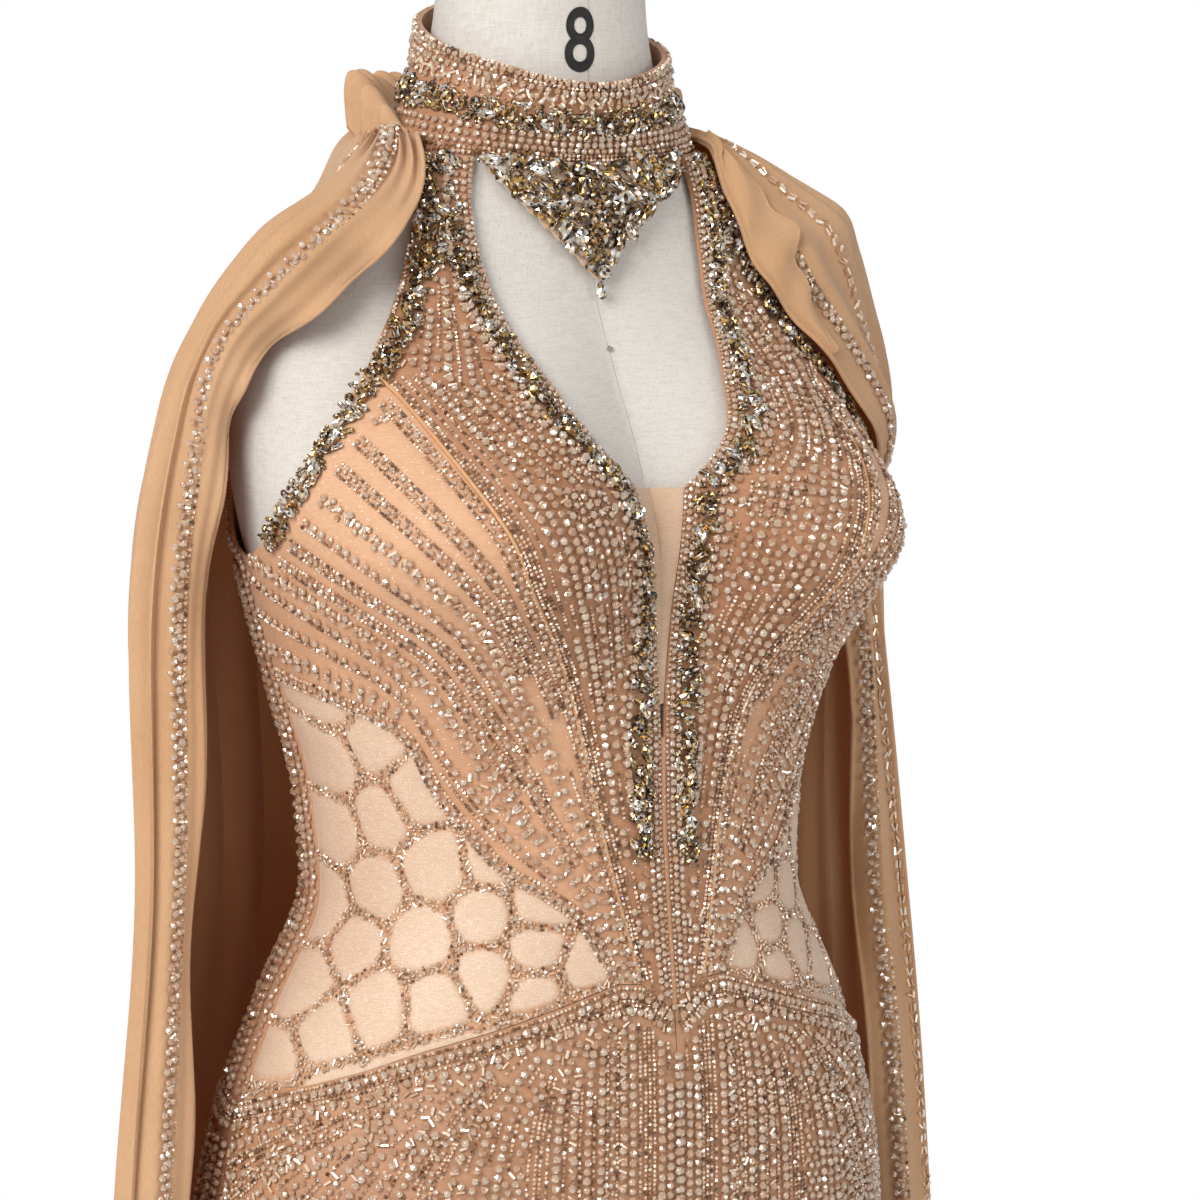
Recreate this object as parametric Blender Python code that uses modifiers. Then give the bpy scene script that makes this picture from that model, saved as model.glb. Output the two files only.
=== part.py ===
"""A floor-length mermaid gown with a halter collar, keyhole neckline and two long cape panels,
worn by a limbless dress form on a round stand.

Frame: +Z up, the wearer faces -Y, origin on the floor at the middle of the stand. Metres and degrees.
The body surface is given by horizontal sections. A point on it has an angle round the body (0 at
centre front, positive towards the wearer's left) and a height. Every panel is a grid between two
seam lines on that surface, lifted off it, with the wall thickness made by Solidify.
"""

import math
from collections import namedtuple

import bmesh
import bpy
from mathutils import Vector
from mathutils.bvhtree import BVHTree

# ---------------------------------------------------------------- driving dimensions

CLOTH_LIFT = 0.0028          # inner side of the gown off the dress form
CLOTH_WALL = 0.0020          # beaded cloth with its lining
NET_WALL = 0.0012            # illusion net of the insets
CHIFFON_WALL = 0.0012
SEAM_GAP = 0.00034           # between two pieces at a seam
SECTION_SQUARENESS = 2.15    # exponent of the superellipse that each section follows

SIDE_SEAM = 95.0             # angle of the side seam
HEM_HEIGHT = 0.012
FORM_BOTTOM = 0.800
FORM_TOP = 1.560
NECK_RIM = 1.548             # where the neck's cap starts

Section = namedtuple("Section", "height half_breadth front_depth back_depth centre_y")

# The torso from the hip up, shared by the dress form and the gown.
TORSO = [
    Section(0.920, 0.177, 0.115, 0.133, 0.006),
    Section(0.980, 0.168, 0.113, 0.125, 0.003),
    Section(1.040, 0.147, 0.107, 0.109, 0.000),
    Section(1.100, 0.122, 0.100, 0.094, 0.000),
    Section(1.150, 0.127, 0.096, 0.095, 0.000),
    Section(1.200, 0.140, 0.096, 0.101, 0.002),
    Section(1.260, 0.155, 0.094, 0.106, 0.006),
    Section(1.310, 0.163, 0.083, 0.107, 0.009),
    Section(1.350, 0.162, 0.068, 0.103, 0.012),
    Section(1.380, 0.151, 0.055, 0.094, 0.012),
    Section(1.400, 0.135, 0.048, 0.086, 0.010),
    Section(1.418, 0.117, 0.045, 0.079, 0.010),
    Section(1.435, 0.099, 0.0445, 0.071, 0.010),
    Section(1.450, 0.084, 0.045, 0.064, 0.010),
    Section(1.465, 0.074, 0.045, 0.058, 0.010),
    Section(1.480, 0.0655, 0.0445, 0.053, 0.010),
    Section(1.500, 0.058, 0.044, 0.048, 0.009),
    Section(1.520, 0.054, 0.043, 0.046, 0.008),
    Section(1.560, 0.051, 0.042, 0.045, 0.006),
]
FORM_SECTIONS = [
    Section(0.800, 0.170, 0.106, 0.120, 0.008),
    Section(0.860, 0.176, 0.111, 0.130, 0.008),
] + TORSO
# The skirt: close to the knee, then flared to the floor.
GOWN_SECTIONS = [
    Section(0.012, 0.440, 0.430, 0.440, 0.000),
    Section(0.120, 0.345, 0.335, 0.342, 0.000),
    Section(0.220, 0.265, 0.252, 0.262, 0.000),
    Section(0.320, 0.205, 0.190, 0.200, 0.002),
    Section(0.420, 0.167, 0.148, 0.156, 0.004),
    Section(0.520, 0.155, 0.126, 0.134, 0.006),
    Section(0.650, 0.164, 0.118, 0.130, 0.008),
    Section(0.800, 0.175, 0.116, 0.132, 0.008),
] + TORSO

# Each breast of the form is a smooth swelling of this radius gain.
BUST_ANGLE = 41.0
BUST_HEIGHT = 1.276
BUST_DEPTH = 0.056
BUST_SPREAD_ANGLE = 29.0
BUST_SPREAD_UP = 0.072
BUST_SPREAD_DOWN = 0.058

# The flare stands in soft flutes, evenly round the hem.
FLUTES = 8
FLUTE_TOP = 0.500
FLUTE_DEPTH = 0.044

# ---------------------------------------------------------------- smooth curves through short tables


def monotone_slopes(knots, column):
    """Slopes that keep a curve through the table from overshooting its rows."""
    steps = [b - a for a, b in zip(knots, knots[1:])]
    rises = [(b - a) / step for a, b, step in zip(column, column[1:], steps)]
    slopes = [rises[0]]
    for i in range(1, len(rises)):
        before, after = rises[i - 1], rises[i]
        if before * after <= 0:
            slopes.append(0.0)
            continue
        near, far = 2 * steps[i] + steps[i - 1], steps[i] + 2 * steps[i - 1]
        slopes.append((near + far) / (near / before + far / after))
    return slopes + [rises[-1]]


def table_curve(rows):
    """A function of the first column that gives the others, smoothly."""
    knots = [row[0] for row in rows]
    columns = [list(column) for column in zip(*(row[1:] for row in rows))]
    slopes = [monotone_slopes(knots, column) for column in columns]

    def at(value):
        value = min(max(value, knots[0]), knots[-1])
        i = max(k for k in range(len(knots) - 1) if k == 0 or knots[k] <= value)
        step = knots[i + 1] - knots[i]
        t = (value - knots[i]) / step
        start, end = (1 + 2 * t) * (1 - t) ** 2, t * t * (3 - 2 * t)
        leave, arrive = t * (1 - t) ** 2 * step, t * t * (t - 1) * step
        return [
            start * c[i] + leave * m[i] + end * c[i + 1] + arrive * m[i + 1]
            for c, m in zip(columns, slopes)
        ]

    return at


def spline(points, t):
    """The Catmull-Rom curve through points, at t from 0 to 1."""
    spans = len(points) - 1
    i = min(int(t * spans), spans - 1)
    u = t * spans - i
    before = points[i - 1] if i else points[0] * 2 - points[1]
    after = points[i + 2] if i + 2 <= spans else points[-1] * 2 - points[-2]
    a, b = points[i], points[i + 1]
    return 0.5 * (
        2 * a
        + (b - before) * u
        + (2 * before - 5 * a + 4 * b - after) * u * u
        + (3 * a - before - 3 * b + after) * u**3
    )


# ---------------------------------------------------------------- the body surface

form_section = table_curve(FORM_SECTIONS)
gown_section = table_curve(GOWN_SECTIONS)


def bust_swell(angle, height):
    up = height - BUST_HEIGHT
    spread = BUST_SPREAD_UP if up > 0 else BUST_SPREAD_DOWN
    across = abs(abs(angle) - BUST_ANGLE) / BUST_SPREAD_ANGLE
    return BUST_DEPTH * math.exp(-(across**2.2) - (up / spread) ** 2)


def flute(angle, height):
    share = min(max((FLUTE_TOP - height) / (FLUTE_TOP - HEM_HEIGHT), 0), 1)
    return FLUTE_DEPTH * share**1.5 * math.cos(math.radians(FLUTES * angle))


def surface_point(section, angle, height):
    """The point of the form's or the gown's surface at this angle and height."""
    half_breadth, front, back, centre_y = section(height)
    turn = math.radians(angle)
    depth = front if math.cos(turn) > 0 else back
    radius = (
        abs(math.sin(turn) / half_breadth) ** SECTION_SQUARENESS
        + abs(math.cos(turn) / depth) ** SECTION_SQUARENESS
    ) ** (-1 / SECTION_SQUARENESS)
    wrapped = (angle + 180) % 360 - 180
    radius += bust_swell(wrapped, height)
    if section is gown_section:
        radius += flute(wrapped, height)
    return Vector((radius * math.sin(turn), centre_y - radius * math.cos(turn), height))


def surface_normal(section, angle, height):
    across = surface_point(section, angle + 0.5, height) - surface_point(section, angle - 0.5, height)
    rise = surface_point(section, angle, height + 0.001) - surface_point(section, angle, height - 0.001)
    return across.cross(rise).normalized()


def on_gown(angle, height, lift):
    """A point this far off the dress form, measured square to the surface."""
    return surface_point(gown_section, angle, height) + lift * surface_normal(gown_section, angle, height)


# ---------------------------------------------------------------- seam lines, as (angle, height)

SeamPoint = namedtuple("SeamPoint", "angle height")


def collar_bottom(angle):
    return 1.4505 + 0.0055 * (1 - math.cos(math.radians(angle)))


def collar_top(angle):
    return 1.4890 + 0.0210 * (1 - math.cos(math.radians(angle)))


COLLAR_JOIN = 0.0006         # the straps and the back stop this far below the collar

KEYHOLE = [
    (60, collar_bottom(60) - COLLAR_JOIN), (59.5, 1.430), (54, 1.400), (42, 1.370),
    (30.5, 1.345), (21.5, 1.320), (14, 1.303), (9, 1.2945),
]
PLUNGE = [(9, 1.2945), (6.4, 1.272), (3.9, 1.243), (1.6, 1.205), (0.3, 1.175)]
CENTRE_FRONT = [(0, 1.175), (0, 1.045)]
ARMHOLE_STRAP = [
    (76, collar_bottom(76) - COLLAR_JOIN), (73, 1.433), (71, 1.404), (69, 1.381), (68.2, 1.352),
]
PRINCESS = [
    (68.2, 1.352), (58.3, 1.334), (47.2, 1.309), (38.2, 1.279), (34.4, 1.250),
    (28.2, 1.204), (21.5, 1.150), (15, 1.100), (9.5, 1.0590),
]
ARMHOLE_SIDE = [(68.2, 1.352), (69, 1.340), (71.2, 1.321), (75.5, 1.298), (84, 1.274), (SIDE_SEAM, 1.262)]
SIDE_UPPER = [(SIDE_SEAM, 1.262), (SIDE_SEAM, 1.204)]
INSET_TOP = [
    (SIDE_SEAM, 1.204), (80, 1.198), (68, 1.188), (62.6, 1.176), (58.5, 1.152),
    (51, 1.131), (44, 1.115), (35, 1.105), (25, 1.090), (16, 1.0600),
]
WAIST_POINT = [(0, 1.045), (9.5, 1.0590)]
WAIST_TURN = [(9.5, 1.0590), (16, 1.0600)]
WAIST_SIDE = [(16, 1.0600), (25.4, 1.054), (43, 1.042), (58, 1.031), (72, 1.017), (SIDE_SEAM, 0.997)]
SIDE_LOWER = [(SIDE_SEAM, 1.204), (SIDE_SEAM, 0.997)]
WAIST_BACK = [(SIDE_SEAM, 0.997), (180, 1.020)]
ARMHOLE_BACK = [
    (SIDE_SEAM, 1.262), (108, 1.276), (119, 1.315), (125, 1.365), (127, 1.410), (124, 1.436),
    (118, collar_bottom(118) - COLLAR_JOIN),
]
CENTRE_BACK = [(180, collar_bottom(180) - COLLAR_JOIN), (180, 1.020)]


def seam(points, count):
    """count + 1 evenly spaced points along a seam line, the same for both pieces that meet there."""
    nodes = [Vector((angle, height)) for angle, height in points]
    fine = [spline(nodes, i / 200) for i in range(201)]
    spots = [surface_point(gown_section, p.x, p.y) for p in fine]
    run = [0.0]
    for a, b in zip(spots, spots[1:]):
        run.append(run[-1] + (b - a).length)
    found = []
    for i in range(count + 1):
        want = run[-1] * i / count
        k = max(j for j in range(200) if j == 0 or run[j] <= want)
        share = (want - run[k]) / max(run[k + 1] - run[k], 1e-9)
        p = fine[k].lerp(fine[k + 1], min(share, 1.0))
        found.append(SeamPoint(p.x, p.y))
    return found


def chain(*parts):
    """Seam lines one after the other, each starting where the last ended."""
    joined = list(parts[0])
    for part in parts[1:]:
        joined += part[1:]
    return joined


keyhole, plunge, centre_front = seam(KEYHOLE, 14), seam(PLUNGE, 7), seam(CENTRE_FRONT, 6)
armhole_strap, princess, armhole_side = seam(ARMHOLE_STRAP, 10), seam(PRINCESS, 17), seam(ARMHOLE_SIDE, 5)
side_upper, inset_top, side_lower = seam(SIDE_UPPER, 2), seam(INSET_TOP, 10), seam(SIDE_LOWER, 6)
waist_point, waist_turn, waist_side = seam(WAIST_POINT, 2), seam(WAIST_TURN, 1), seam(WAIST_SIDE, 10)
waist_back, armhole_back, centre_back = seam(WAIST_BACK, 12), seam(ARMHOLE_BACK, 10), seam(CENTRE_BACK, 18)

# ---------------------------------------------------------------- materials and objects


def make_material(name, colour, roughness, metallic=0.0):
    material = bpy.data.materials.new(name)
    material.use_nodes = True
    shader = material.node_tree.nodes["Principled BSDF"]
    shader.inputs["Base Color"].default_value = (*colour, 1)
    shader.inputs["Roughness"].default_value = roughness
    shader.inputs["Metallic"].default_value = metallic
    return material


for old in list(bpy.data.objects):
    bpy.data.objects.remove(old)

parts = bpy.data.collections.new("mermaid_gown_on_dress_form")
bpy.context.scene.collection.children.link(parts)

BEADED = make_material("beaded_cloth", (0.62, 0.42, 0.29), 0.45)
NET = make_material("nude_net", (0.80, 0.60, 0.43), 0.60)
CHIFFON = make_material("chiffon", (0.74, 0.52, 0.32), 0.65)
STONES = make_material("crystal_stones", (0.38, 0.31, 0.20), 0.15, 0.6)
LINEN = make_material("form_linen", (0.80, 0.78, 0.74), 0.85)
STEEL = make_material("stand_metal", (0.20, 0.20, 0.21), 0.40, 0.9)
BUTTONS = make_material("covered_button", (0.66, 0.47, 0.32), 0.50)


def add_object(name, mesh, material):
    mesh.materials.append(material)
    mesh.shade_smooth()
    mesh.set_sharp_from_angle(angle=math.radians(40))
    made = bpy.data.objects.new(name, mesh)
    parts.objects.link(made)
    return made


def mesh_of(bm, name):
    mesh = bpy.data.meshes.new(name)
    bm.normal_update()
    bm.to_mesh(mesh)
    bm.free()
    return mesh


# ---------------------------------------------------------------- cloth panels


def grid_mesh(name, points, outwards):
    """An open cloth surface: a grid primitive whose points are moved to points[row][column].
    Its faces look along outwards, a direction from the body at the middle of the grid."""
    rows, columns = len(points), len(points[0])
    bm = bmesh.new()
    bmesh.ops.create_grid(bm, x_segments=columns - 1, y_segments=rows - 1, size=1)
    bm.verts.ensure_lookup_table()
    for index, vert in enumerate(bm.verts):
        vert.co = points[index // columns][index % columns]
    bm.normal_update()
    bm.faces.ensure_lookup_table()
    middle = bm.faces[len(bm.faces) // 2]
    if middle.normal.dot(outwards) < 0:
        bmesh.ops.reverse_faces(bm, faces=bm.faces)
    return mesh_of(bm, name)


def solidify(made, wall):
    modifier = made.modifiers.new("wall", "SOLIDIFY")
    modifier.thickness = wall
    modifier.offset = 1
    return made


def pull_in(points, gap):
    """Moves the grid's outer points in from its edges, square to them, to leave room at the seams."""
    rows, columns = len(points), len(points[0])
    moved = [[point.copy() for point in row] for row in points]

    def shift(i, j, along_a, along_b, inner):
        tangent = (along_b - along_a).normalized()
        inward = inner - points[i][j]
        inward -= inward.dot(tangent) * tangent
        if inward.length > 1e-6:
            moved[i][j] += inward.normalized() * gap

    for i in range(rows):
        above, below = points[max(i - 1, 0)], points[min(i + 1, rows - 1)]
        shift(i, 0, above[0], below[0], points[i][1])
        shift(i, columns - 1, above[-1], below[-1], points[i][-2])
    for j in range(columns):
        left, right = max(j - 1, 0), min(j + 1, columns - 1)
        shift(0, j, points[0][left], points[0][right], points[1][j])
        shift(rows - 1, j, points[-1][left], points[-1][right], points[-2][j])
    return moved


def between(a, b, share):
    """The seam point this share of the way from a to b."""
    return SeamPoint(a.angle + (b.angle - a.angle) * share, a.height + (b.height - a.height) * share)


def mirrored(point, side):
    return Vector((point.x * side, point.y, point.z))


def ruled_panel(name, inner, outer, columns, side, material, wall=CLOTH_WALL, crowding=1.0):
    """A panel between two seam lines with the same number of points. side is 1 for the wearer's
    left and -1 for the right. A crowding above 1 sets the columns closer at the inner
    line, and one below 1 at the outer line."""
    points = []
    for a, b in zip(inner, outer):
        row = []
        for j in range(columns + 1):
            spot = between(a, b, (j / columns) ** crowding)
            row.append(mirrored(on_gown(spot.angle, spot.height, CLOTH_LIFT), side))
        points.append(row)
    points = pull_in(points, SEAM_GAP / 2)
    middle = points[len(points) // 2][columns // 2]
    outwards = Vector((middle.x, middle.y, 0))
    return solidify(add_object(name, grid_mesh(name, points, outwards), material), wall)


INSET_TIP = 0.85      # how far the inset reaches into its pointed front end


def build_bodice(side, letter):
    """One half of the bodice. It returns its two front panels, which carry stones, and its back."""
    inner_edge = chain(keyhole, plunge, centre_front)
    outer_edge = chain(armhole_strap, princess)
    centre = ruled_panel(f"front_centre_{letter}", inner_edge, outer_edge, 5, side, BEADED)

    side_edge = chain(armhole_side, side_upper, inset_top)
    side_edge[0] = between(side_edge[0], side_edge[1], 0.5)
    under_arm = ruled_panel(f"front_side_{letter}", princess, side_edge, 6, side, BEADED, crowding=1.2)

    upper, lower = list(inset_top), list(reversed(waist_side))
    upper[-1] = between(upper[-2], upper[-1], INSET_TIP)
    lower[-1] = between(lower[-2], lower[-1], INSET_TIP)
    ruled_panel(f"waist_inset_{letter}", upper, lower, 6, side, NET, NET_WALL)

    back_edge = chain(list(reversed(armhole_back)), side_upper, side_lower)
    back = ruled_panel(f"back_{letter}", centre_back, back_edge, 8, side, BEADED, crowding=0.8)
    return centre, under_arm, back


def build_plunge_inset():
    left = plunge[:-1]
    right = [SeamPoint(-p.angle, p.height) for p in left]
    ruled_panel("plunge_inset", right, left, 4, 1, NET, NET_WALL)


# ---------------------------------------------------------------- skirt

SKIRT_LEVELS = [0.94, 0.88, 0.81, 0.73, 0.65, 0.58, 0.52, 0.465, 0.415, 0.365, 0.315, 0.265, 0.21, 0.15, 0.085]
HIP_ROW = 0.978       # the first row under the waist seam, where it has levelled out


def skirt_gore(name, top, hem_from, hem_to, side):
    """A gore from the waist seam to the hem. Its columns spread from the seam's points to even
    angles at the hip, and stay there down to the hem."""
    columns = len(top) - 1
    points = [[mirrored(on_gown(p.angle, p.height, CLOTH_LIFT), side) for p in top]]
    levels = [HIP_ROW] + SKIRT_LEVELS + [HEM_HEIGHT]
    for k, level in enumerate(levels):
        spread = min(k / 3, 1.0)
        row = []
        for j, p in enumerate(top):
            even = hem_from + (hem_to - hem_from) * j / columns
            angle = p.angle + (even - p.angle) * spread
            row.append(mirrored(on_gown(angle, level, CLOTH_LIFT), side))
        points.append(row)
    points = pull_in(points, SEAM_GAP / 2)
    middle = points[5][columns // 2]
    outwards = Vector((middle.x, middle.y, 0))
    return solidify(add_object(name, grid_mesh(name, points, outwards), BEADED), CLOTH_WALL)


def build_skirt(side, letter):
    front_top = chain(waist_point, waist_turn, waist_side)
    skirt_gore(f"skirt_front_{letter}", front_top, 0, SIDE_SEAM, side)
    skirt_gore(f"skirt_back_{letter}", waist_back, SIDE_SEAM, 180, side)


# ---------------------------------------------------------------- collar

COLLAR_WALL = 0.0025
COLLAR_SEAT = 0.0008      # the collar's lower edge off the neck
COLLAR_FLARE = 0.0045     # how much further its upper edge stands off
COLLAR_COLUMNS = 36
COLLAR_SHARES = (0, 0.28, 0.66, 1)     # its rows, the stones between the middle two
COLLAR_SLIT = 1.2         # degrees each side of centre back


def on_collar(angle, share, lift):
    """A point of the collar, share 0 at its lower edge and 1 at its upper edge."""
    height = collar_bottom(angle) + (collar_top(angle) - collar_bottom(angle)) * share
    off = COLLAR_SEAT + COLLAR_FLARE * share + lift
    return surface_point(form_section, angle, height) + off * surface_normal(form_section, angle, height)


def build_collar():
    span = 180 - COLLAR_SLIT
    angles = [-span + 2 * span * j / COLLAR_COLUMNS for j in range(COLLAR_COLUMNS + 1)]
    points = [[on_collar(angle, share, 0) for angle in angles] for share in COLLAR_SHARES]
    mesh = grid_mesh("collar", points, Vector((0, -1, 0)))
    return solidify(add_object("collar", mesh, BEADED), COLLAR_WALL)


# ---------------------------------------------------------------- studded trim

STUD_PITCH = 0.0105
STUD_RISE = 0.0024
TRIM_BASE = 0.0009
TRIM_HALF_WIDTH = 0.0048
TRIM_LIFT = 0.0009          # the strip's underside off the cloth
TRIM_SEARCH = 0.0040        # the strip is set down on the cloth from this far out


def closed_mesh(name, rings):
    """A body lofted through rings of points, with a flat face on each end."""
    bm = bmesh.new()
    loops = [[bm.verts.new(point) for point in ring] for ring in rings]
    size = len(loops[0])
    for a, b in zip(loops, loops[1:]):
        for k in range(size):
            bm.faces.new((a[k], a[(k + 1) % size], b[(k + 1) % size], b[k]))
    bm.faces.new(loops[0][::-1])
    bm.faces.new(loops[-1])
    bmesh.ops.recalc_face_normals(bm, faces=bm.faces)
    return mesh_of(bm, name)


def even_run(spots, normals, pitch):
    """The polyline again, with its points half a pitch apart."""
    run = [0.0]
    for a, b in zip(spots, spots[1:]):
        run.append(run[-1] + (b - a).length)
    count = 2 * round(run[-1] / pitch)
    found, facing = [], []
    for i in range(count + 1):
        want = run[-1] * i / count
        k = max(j for j in range(len(run) - 1) if j == 0 or run[j] <= want)
        share = min((want - run[k]) / (run[k + 1] - run[k]), 1.0)
        found.append(spots[k].lerp(spots[k + 1], share))
        facing.append(normals[k].lerp(normals[k + 1], share).normalized())
    return found, facing


def faces_of(pieces):
    """A search tree of the finished faces of these pieces, for setting other things on them."""
    graph = bpy.context.evaluated_depsgraph_get()
    bm = bmesh.new()
    for piece in pieces:
        bm.from_object(piece, graph)
    tree = BVHTree.FromBMesh(bm)
    bm.free()
    return tree


def set_on(tree, point, rise):
    """The nearest spot of the faces to a point outside them, moved out this far towards the point."""
    place = tree.find_nearest(point)[0]
    return place + (point - place).normalized() * rise


def studded_trim(name, tree, spots, normals, rows=1, half_width=TRIM_HALF_WIDTH):
    """A strip of set stones along spots, rows of them side by side, on the faces of the tree. Its
    crests rise on every second ring, one for each stone, and neighbouring rows take turns."""
    spots, normals = even_run(spots, normals, STUD_PITCH)
    rings = []
    for i, (spot, normal) in enumerate(zip(spots, normals)):
        along = (spots[min(i + 1, len(spots) - 1)] - spots[max(i - 1, 0)]).normalized()
        across = along.cross(normal).normalized()
        profile = [(-half_width, 0)]
        for row in range(rows):
            middle = half_width * ((2 * row + 1) / rows - 1)
            stone = (i + row) % 2
            reach = half_width / rows * (0.45 if stone else 0.85)
            rise = TRIM_BASE + STUD_RISE * stone
            profile += [(middle - reach, rise), (middle + reach, rise)]
        profile.append((half_width, 0))
        above = spot + normal * TRIM_SEARCH
        rings.append([set_on(tree, above + across * aside, TRIM_LIFT + rise) for aside, rise in profile])
    return add_object(name, closed_mesh(name, rings), STONES)


KEYHOLE_TRIM_INSET = 0.0135     # from the keyhole's edge to the middle of the stones
ARMHOLE_TRIM_INSET = 0.0066
KEYHOLE_TRIM_END = 1.108        # the stones stop above the waist
STRAP_CLEAR = 4                 # points left free on the narrow end of the strap


def moved_in(edge, other, distance):
    """The edge line moved this far towards the other line, along the panel's rows."""
    line = []
    for a, b in zip(edge, other):
        length = (on_gown(b.angle, b.height, 0) - on_gown(a.angle, a.height, 0)).length
        line.append(between(a, b, min(distance / max(length, distance), 0.5)))
    return line


def trim_on_gown(name, tree, line, side):
    spots = [mirrored(on_gown(p.angle, p.height, CLOTH_LIFT + CLOTH_WALL), side) for p in line]
    normals = [mirrored(surface_normal(gown_section, p.angle, p.height), side) for p in line]
    studded_trim(name, tree, spots, normals)


def build_trim(side, letter, front_panels):
    tree = faces_of(front_panels)
    inner_edge = chain(keyhole, plunge, centre_front)
    line = moved_in(inner_edge, chain(armhole_strap, princess), KEYHOLE_TRIM_INSET)[1:]
    line = [p for p in line if p.height > KEYHOLE_TRIM_END]
    trim_on_gown(f"keyhole_stones_{letter}", tree, line, side)

    strap = moved_in(armhole_strap, inner_edge[: len(armhole_strap)], ARMHOLE_TRIM_INSET)
    under = moved_in(armhole_side, princess[: len(armhole_side)], ARMHOLE_TRIM_INSET)
    trim_on_gown(f"armhole_stones_{letter}", tree, strap[STRAP_CLEAR:] + under[1:-1], side)


COLLAR_TRIM_SHARE = 0.47
COLLAR_TRIM_SPAN = 172.0
COLLAR_TRIM_HALF_WIDTH = 0.0070
COLLAR_TRIM_STEPS = 72


def build_collar_trim(collar):
    step = 2 * COLLAR_TRIM_SPAN / COLLAR_TRIM_STEPS
    angles = [-COLLAR_TRIM_SPAN + step * i for i in range(COLLAR_TRIM_STEPS + 1)]
    inner = [on_collar(angle, COLLAR_TRIM_SHARE, 0) for angle in angles]
    outer = [on_collar(angle, COLLAR_TRIM_SHARE, COLLAR_WALL) for angle in angles]
    normals = [(b - a).normalized() for a, b in zip(inner, outer)]
    studded_trim("collar_stones", faces_of([collar]), outer, normals, 2, COLLAR_TRIM_HALF_WIDTH)


# ---------------------------------------------------------------- pendant bib under the collar

BIB_SPAN = 56.5
BIB_TIP = 1.3960
BIB_LIFT = 0.0042
BIB_WALL = 0.0015
BIB_STUD = 0.0022
BIB_COLUMNS = 16
BIB_ROWS = 4
BIB_SCALLOP = 0.0016


def build_bib():
    """A pointed bib of set stones that hangs from the collar's lower edge. Its outer points rise
    in a chequer over a plain back, and its lower edge is scalloped."""
    backs, fronts = [], []
    for i in range(BIB_ROWS + 1):
        back_row, front_row = [], []
        for j in range(BIB_COLUMNS + 1):
            angle = BIB_SPAN * (2 * j / BIB_COLUMNS - 1)
            top = collar_bottom(angle) - SEAM_GAP
            drop = (top - BIB_TIP) * (1 - abs(angle) / BIB_SPAN) ** 0.85 + 0.0035
            drop += BIB_SCALLOP * (j % 2)
            height = top - drop * i / BIB_ROWS
            inside = 0 < i < BIB_ROWS and 0 < j < BIB_COLUMNS
            stud = BIB_STUD if inside and (i + j) % 2 else 0
            outwards = surface_normal(form_section, angle, height)
            base = surface_point(form_section, angle, height) + outwards * BIB_LIFT
            back_row.append(base)
            front_row.append(base + outwards * (BIB_WALL + stud))
        backs.append(back_row)
        fronts.append(front_row)
    add_object("pendant_bib", two_faced_mesh("pendant_bib", backs, fronts), STONES)


def two_faced_mesh(name, backs, fronts):
    """A wall between two grids of points, for a piece whose two faces differ."""
    rows, columns = len(backs), len(backs[0])
    bm = bmesh.new()
    low = [[bm.verts.new(p) for p in row] for row in backs]
    high = [[bm.verts.new(p) for p in row] for row in fronts]
    for i in range(rows - 1):
        for j in range(columns - 1):
            for grid in (low, high):
                bm.faces.new((grid[i][j], grid[i][j + 1], grid[i + 1][j + 1], grid[i + 1][j]))
    for i in range(rows - 1):
        for j in (0, columns - 1):
            bm.faces.new((low[i][j], low[i + 1][j], high[i + 1][j], high[i][j]))
    for j in range(columns - 1):
        for i in (0, rows - 1):
            bm.faces.new((low[i][j], low[i][j + 1], high[i][j + 1], high[i][j]))
    bmesh.ops.recalc_face_normals(bm, faces=bm.faces)
    return mesh_of(bm, name)


# ---------------------------------------------------------------- cape panels

CapeRow = namedtuple("CapeRow", "front ridge rear blade centre")

# Each row follows one level of the hanging chiffon as (x, y, height) points: its front edge, the
# outermost point beside the arm, behind the arm, over the shoulder blade, and centre back.
CAPE_ROWS = [
    CapeRow((0.098, -0.038, 1.436), (0.120, -0.018, 1.457), (0.100, 0.012, 1.463), (0.075, 0.065, 1.459), (0.010, 0.095, 1.447)),
    CapeRow((0.126, -0.042, 1.405), (0.161, -0.031, 1.430), (0.126, 0.002, 1.436), (0.090, 0.067, 1.428), (0.010, 0.112, 1.410)),
    CapeRow((0.153, -0.024, 1.378), (0.180, -0.020, 1.402), (0.150, 0.012, 1.406), (0.112, 0.083, 1.396), (0.010, 0.128, 1.365)),
    CapeRow((0.174, -0.004, 1.350), (0.194, -0.004, 1.372), (0.170, 0.020, 1.372), (0.128, 0.096, 1.364), (0.010, 0.136, 1.315)),
    CapeRow((0.180, 0.005, 1.312), (0.205, 0.007, 1.328), (0.185, 0.031, 1.328), (0.138, 0.101, 1.322), (0.010, 0.136, 1.255)),
    CapeRow((0.186, 0.014, 1.240), (0.213, 0.019, 1.240), (0.196, 0.042, 1.240), (0.144, 0.115, 1.240), (0.010, 0.137, 1.180)),
    CapeRow((0.195, 0.014, 1.100), (0.220, 0.006, 1.100), (0.190, 0.036, 1.100), (0.135, 0.119, 1.100), (0.010, 0.140, 1.090)),
    CapeRow((0.203, 0.010, 0.960), (0.234, 0.002, 0.960), (0.198, 0.041, 0.960), (0.142, 0.135, 0.960), (0.010, 0.162, 0.960)),
    CapeRow((0.211, 0.004, 0.750), (0.250, 0.000, 0.750), (0.214, 0.050, 0.750), (0.160, 0.148, 0.750), (0.010, 0.170, 0.750)),
    CapeRow((0.218, -0.002, 0.480), (0.266, -0.002, 0.480), (0.234, 0.060, 0.480), (0.180, 0.164, 0.480), (0.012, 0.184, 0.480)),
]
CAPE_COLUMNS = 18
CAPE_LEVELS = 19
GATHER_STEP = (180 - COLLAR_SLIT) / COLLAR_COLUMNS     # half a column of the collar
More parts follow.
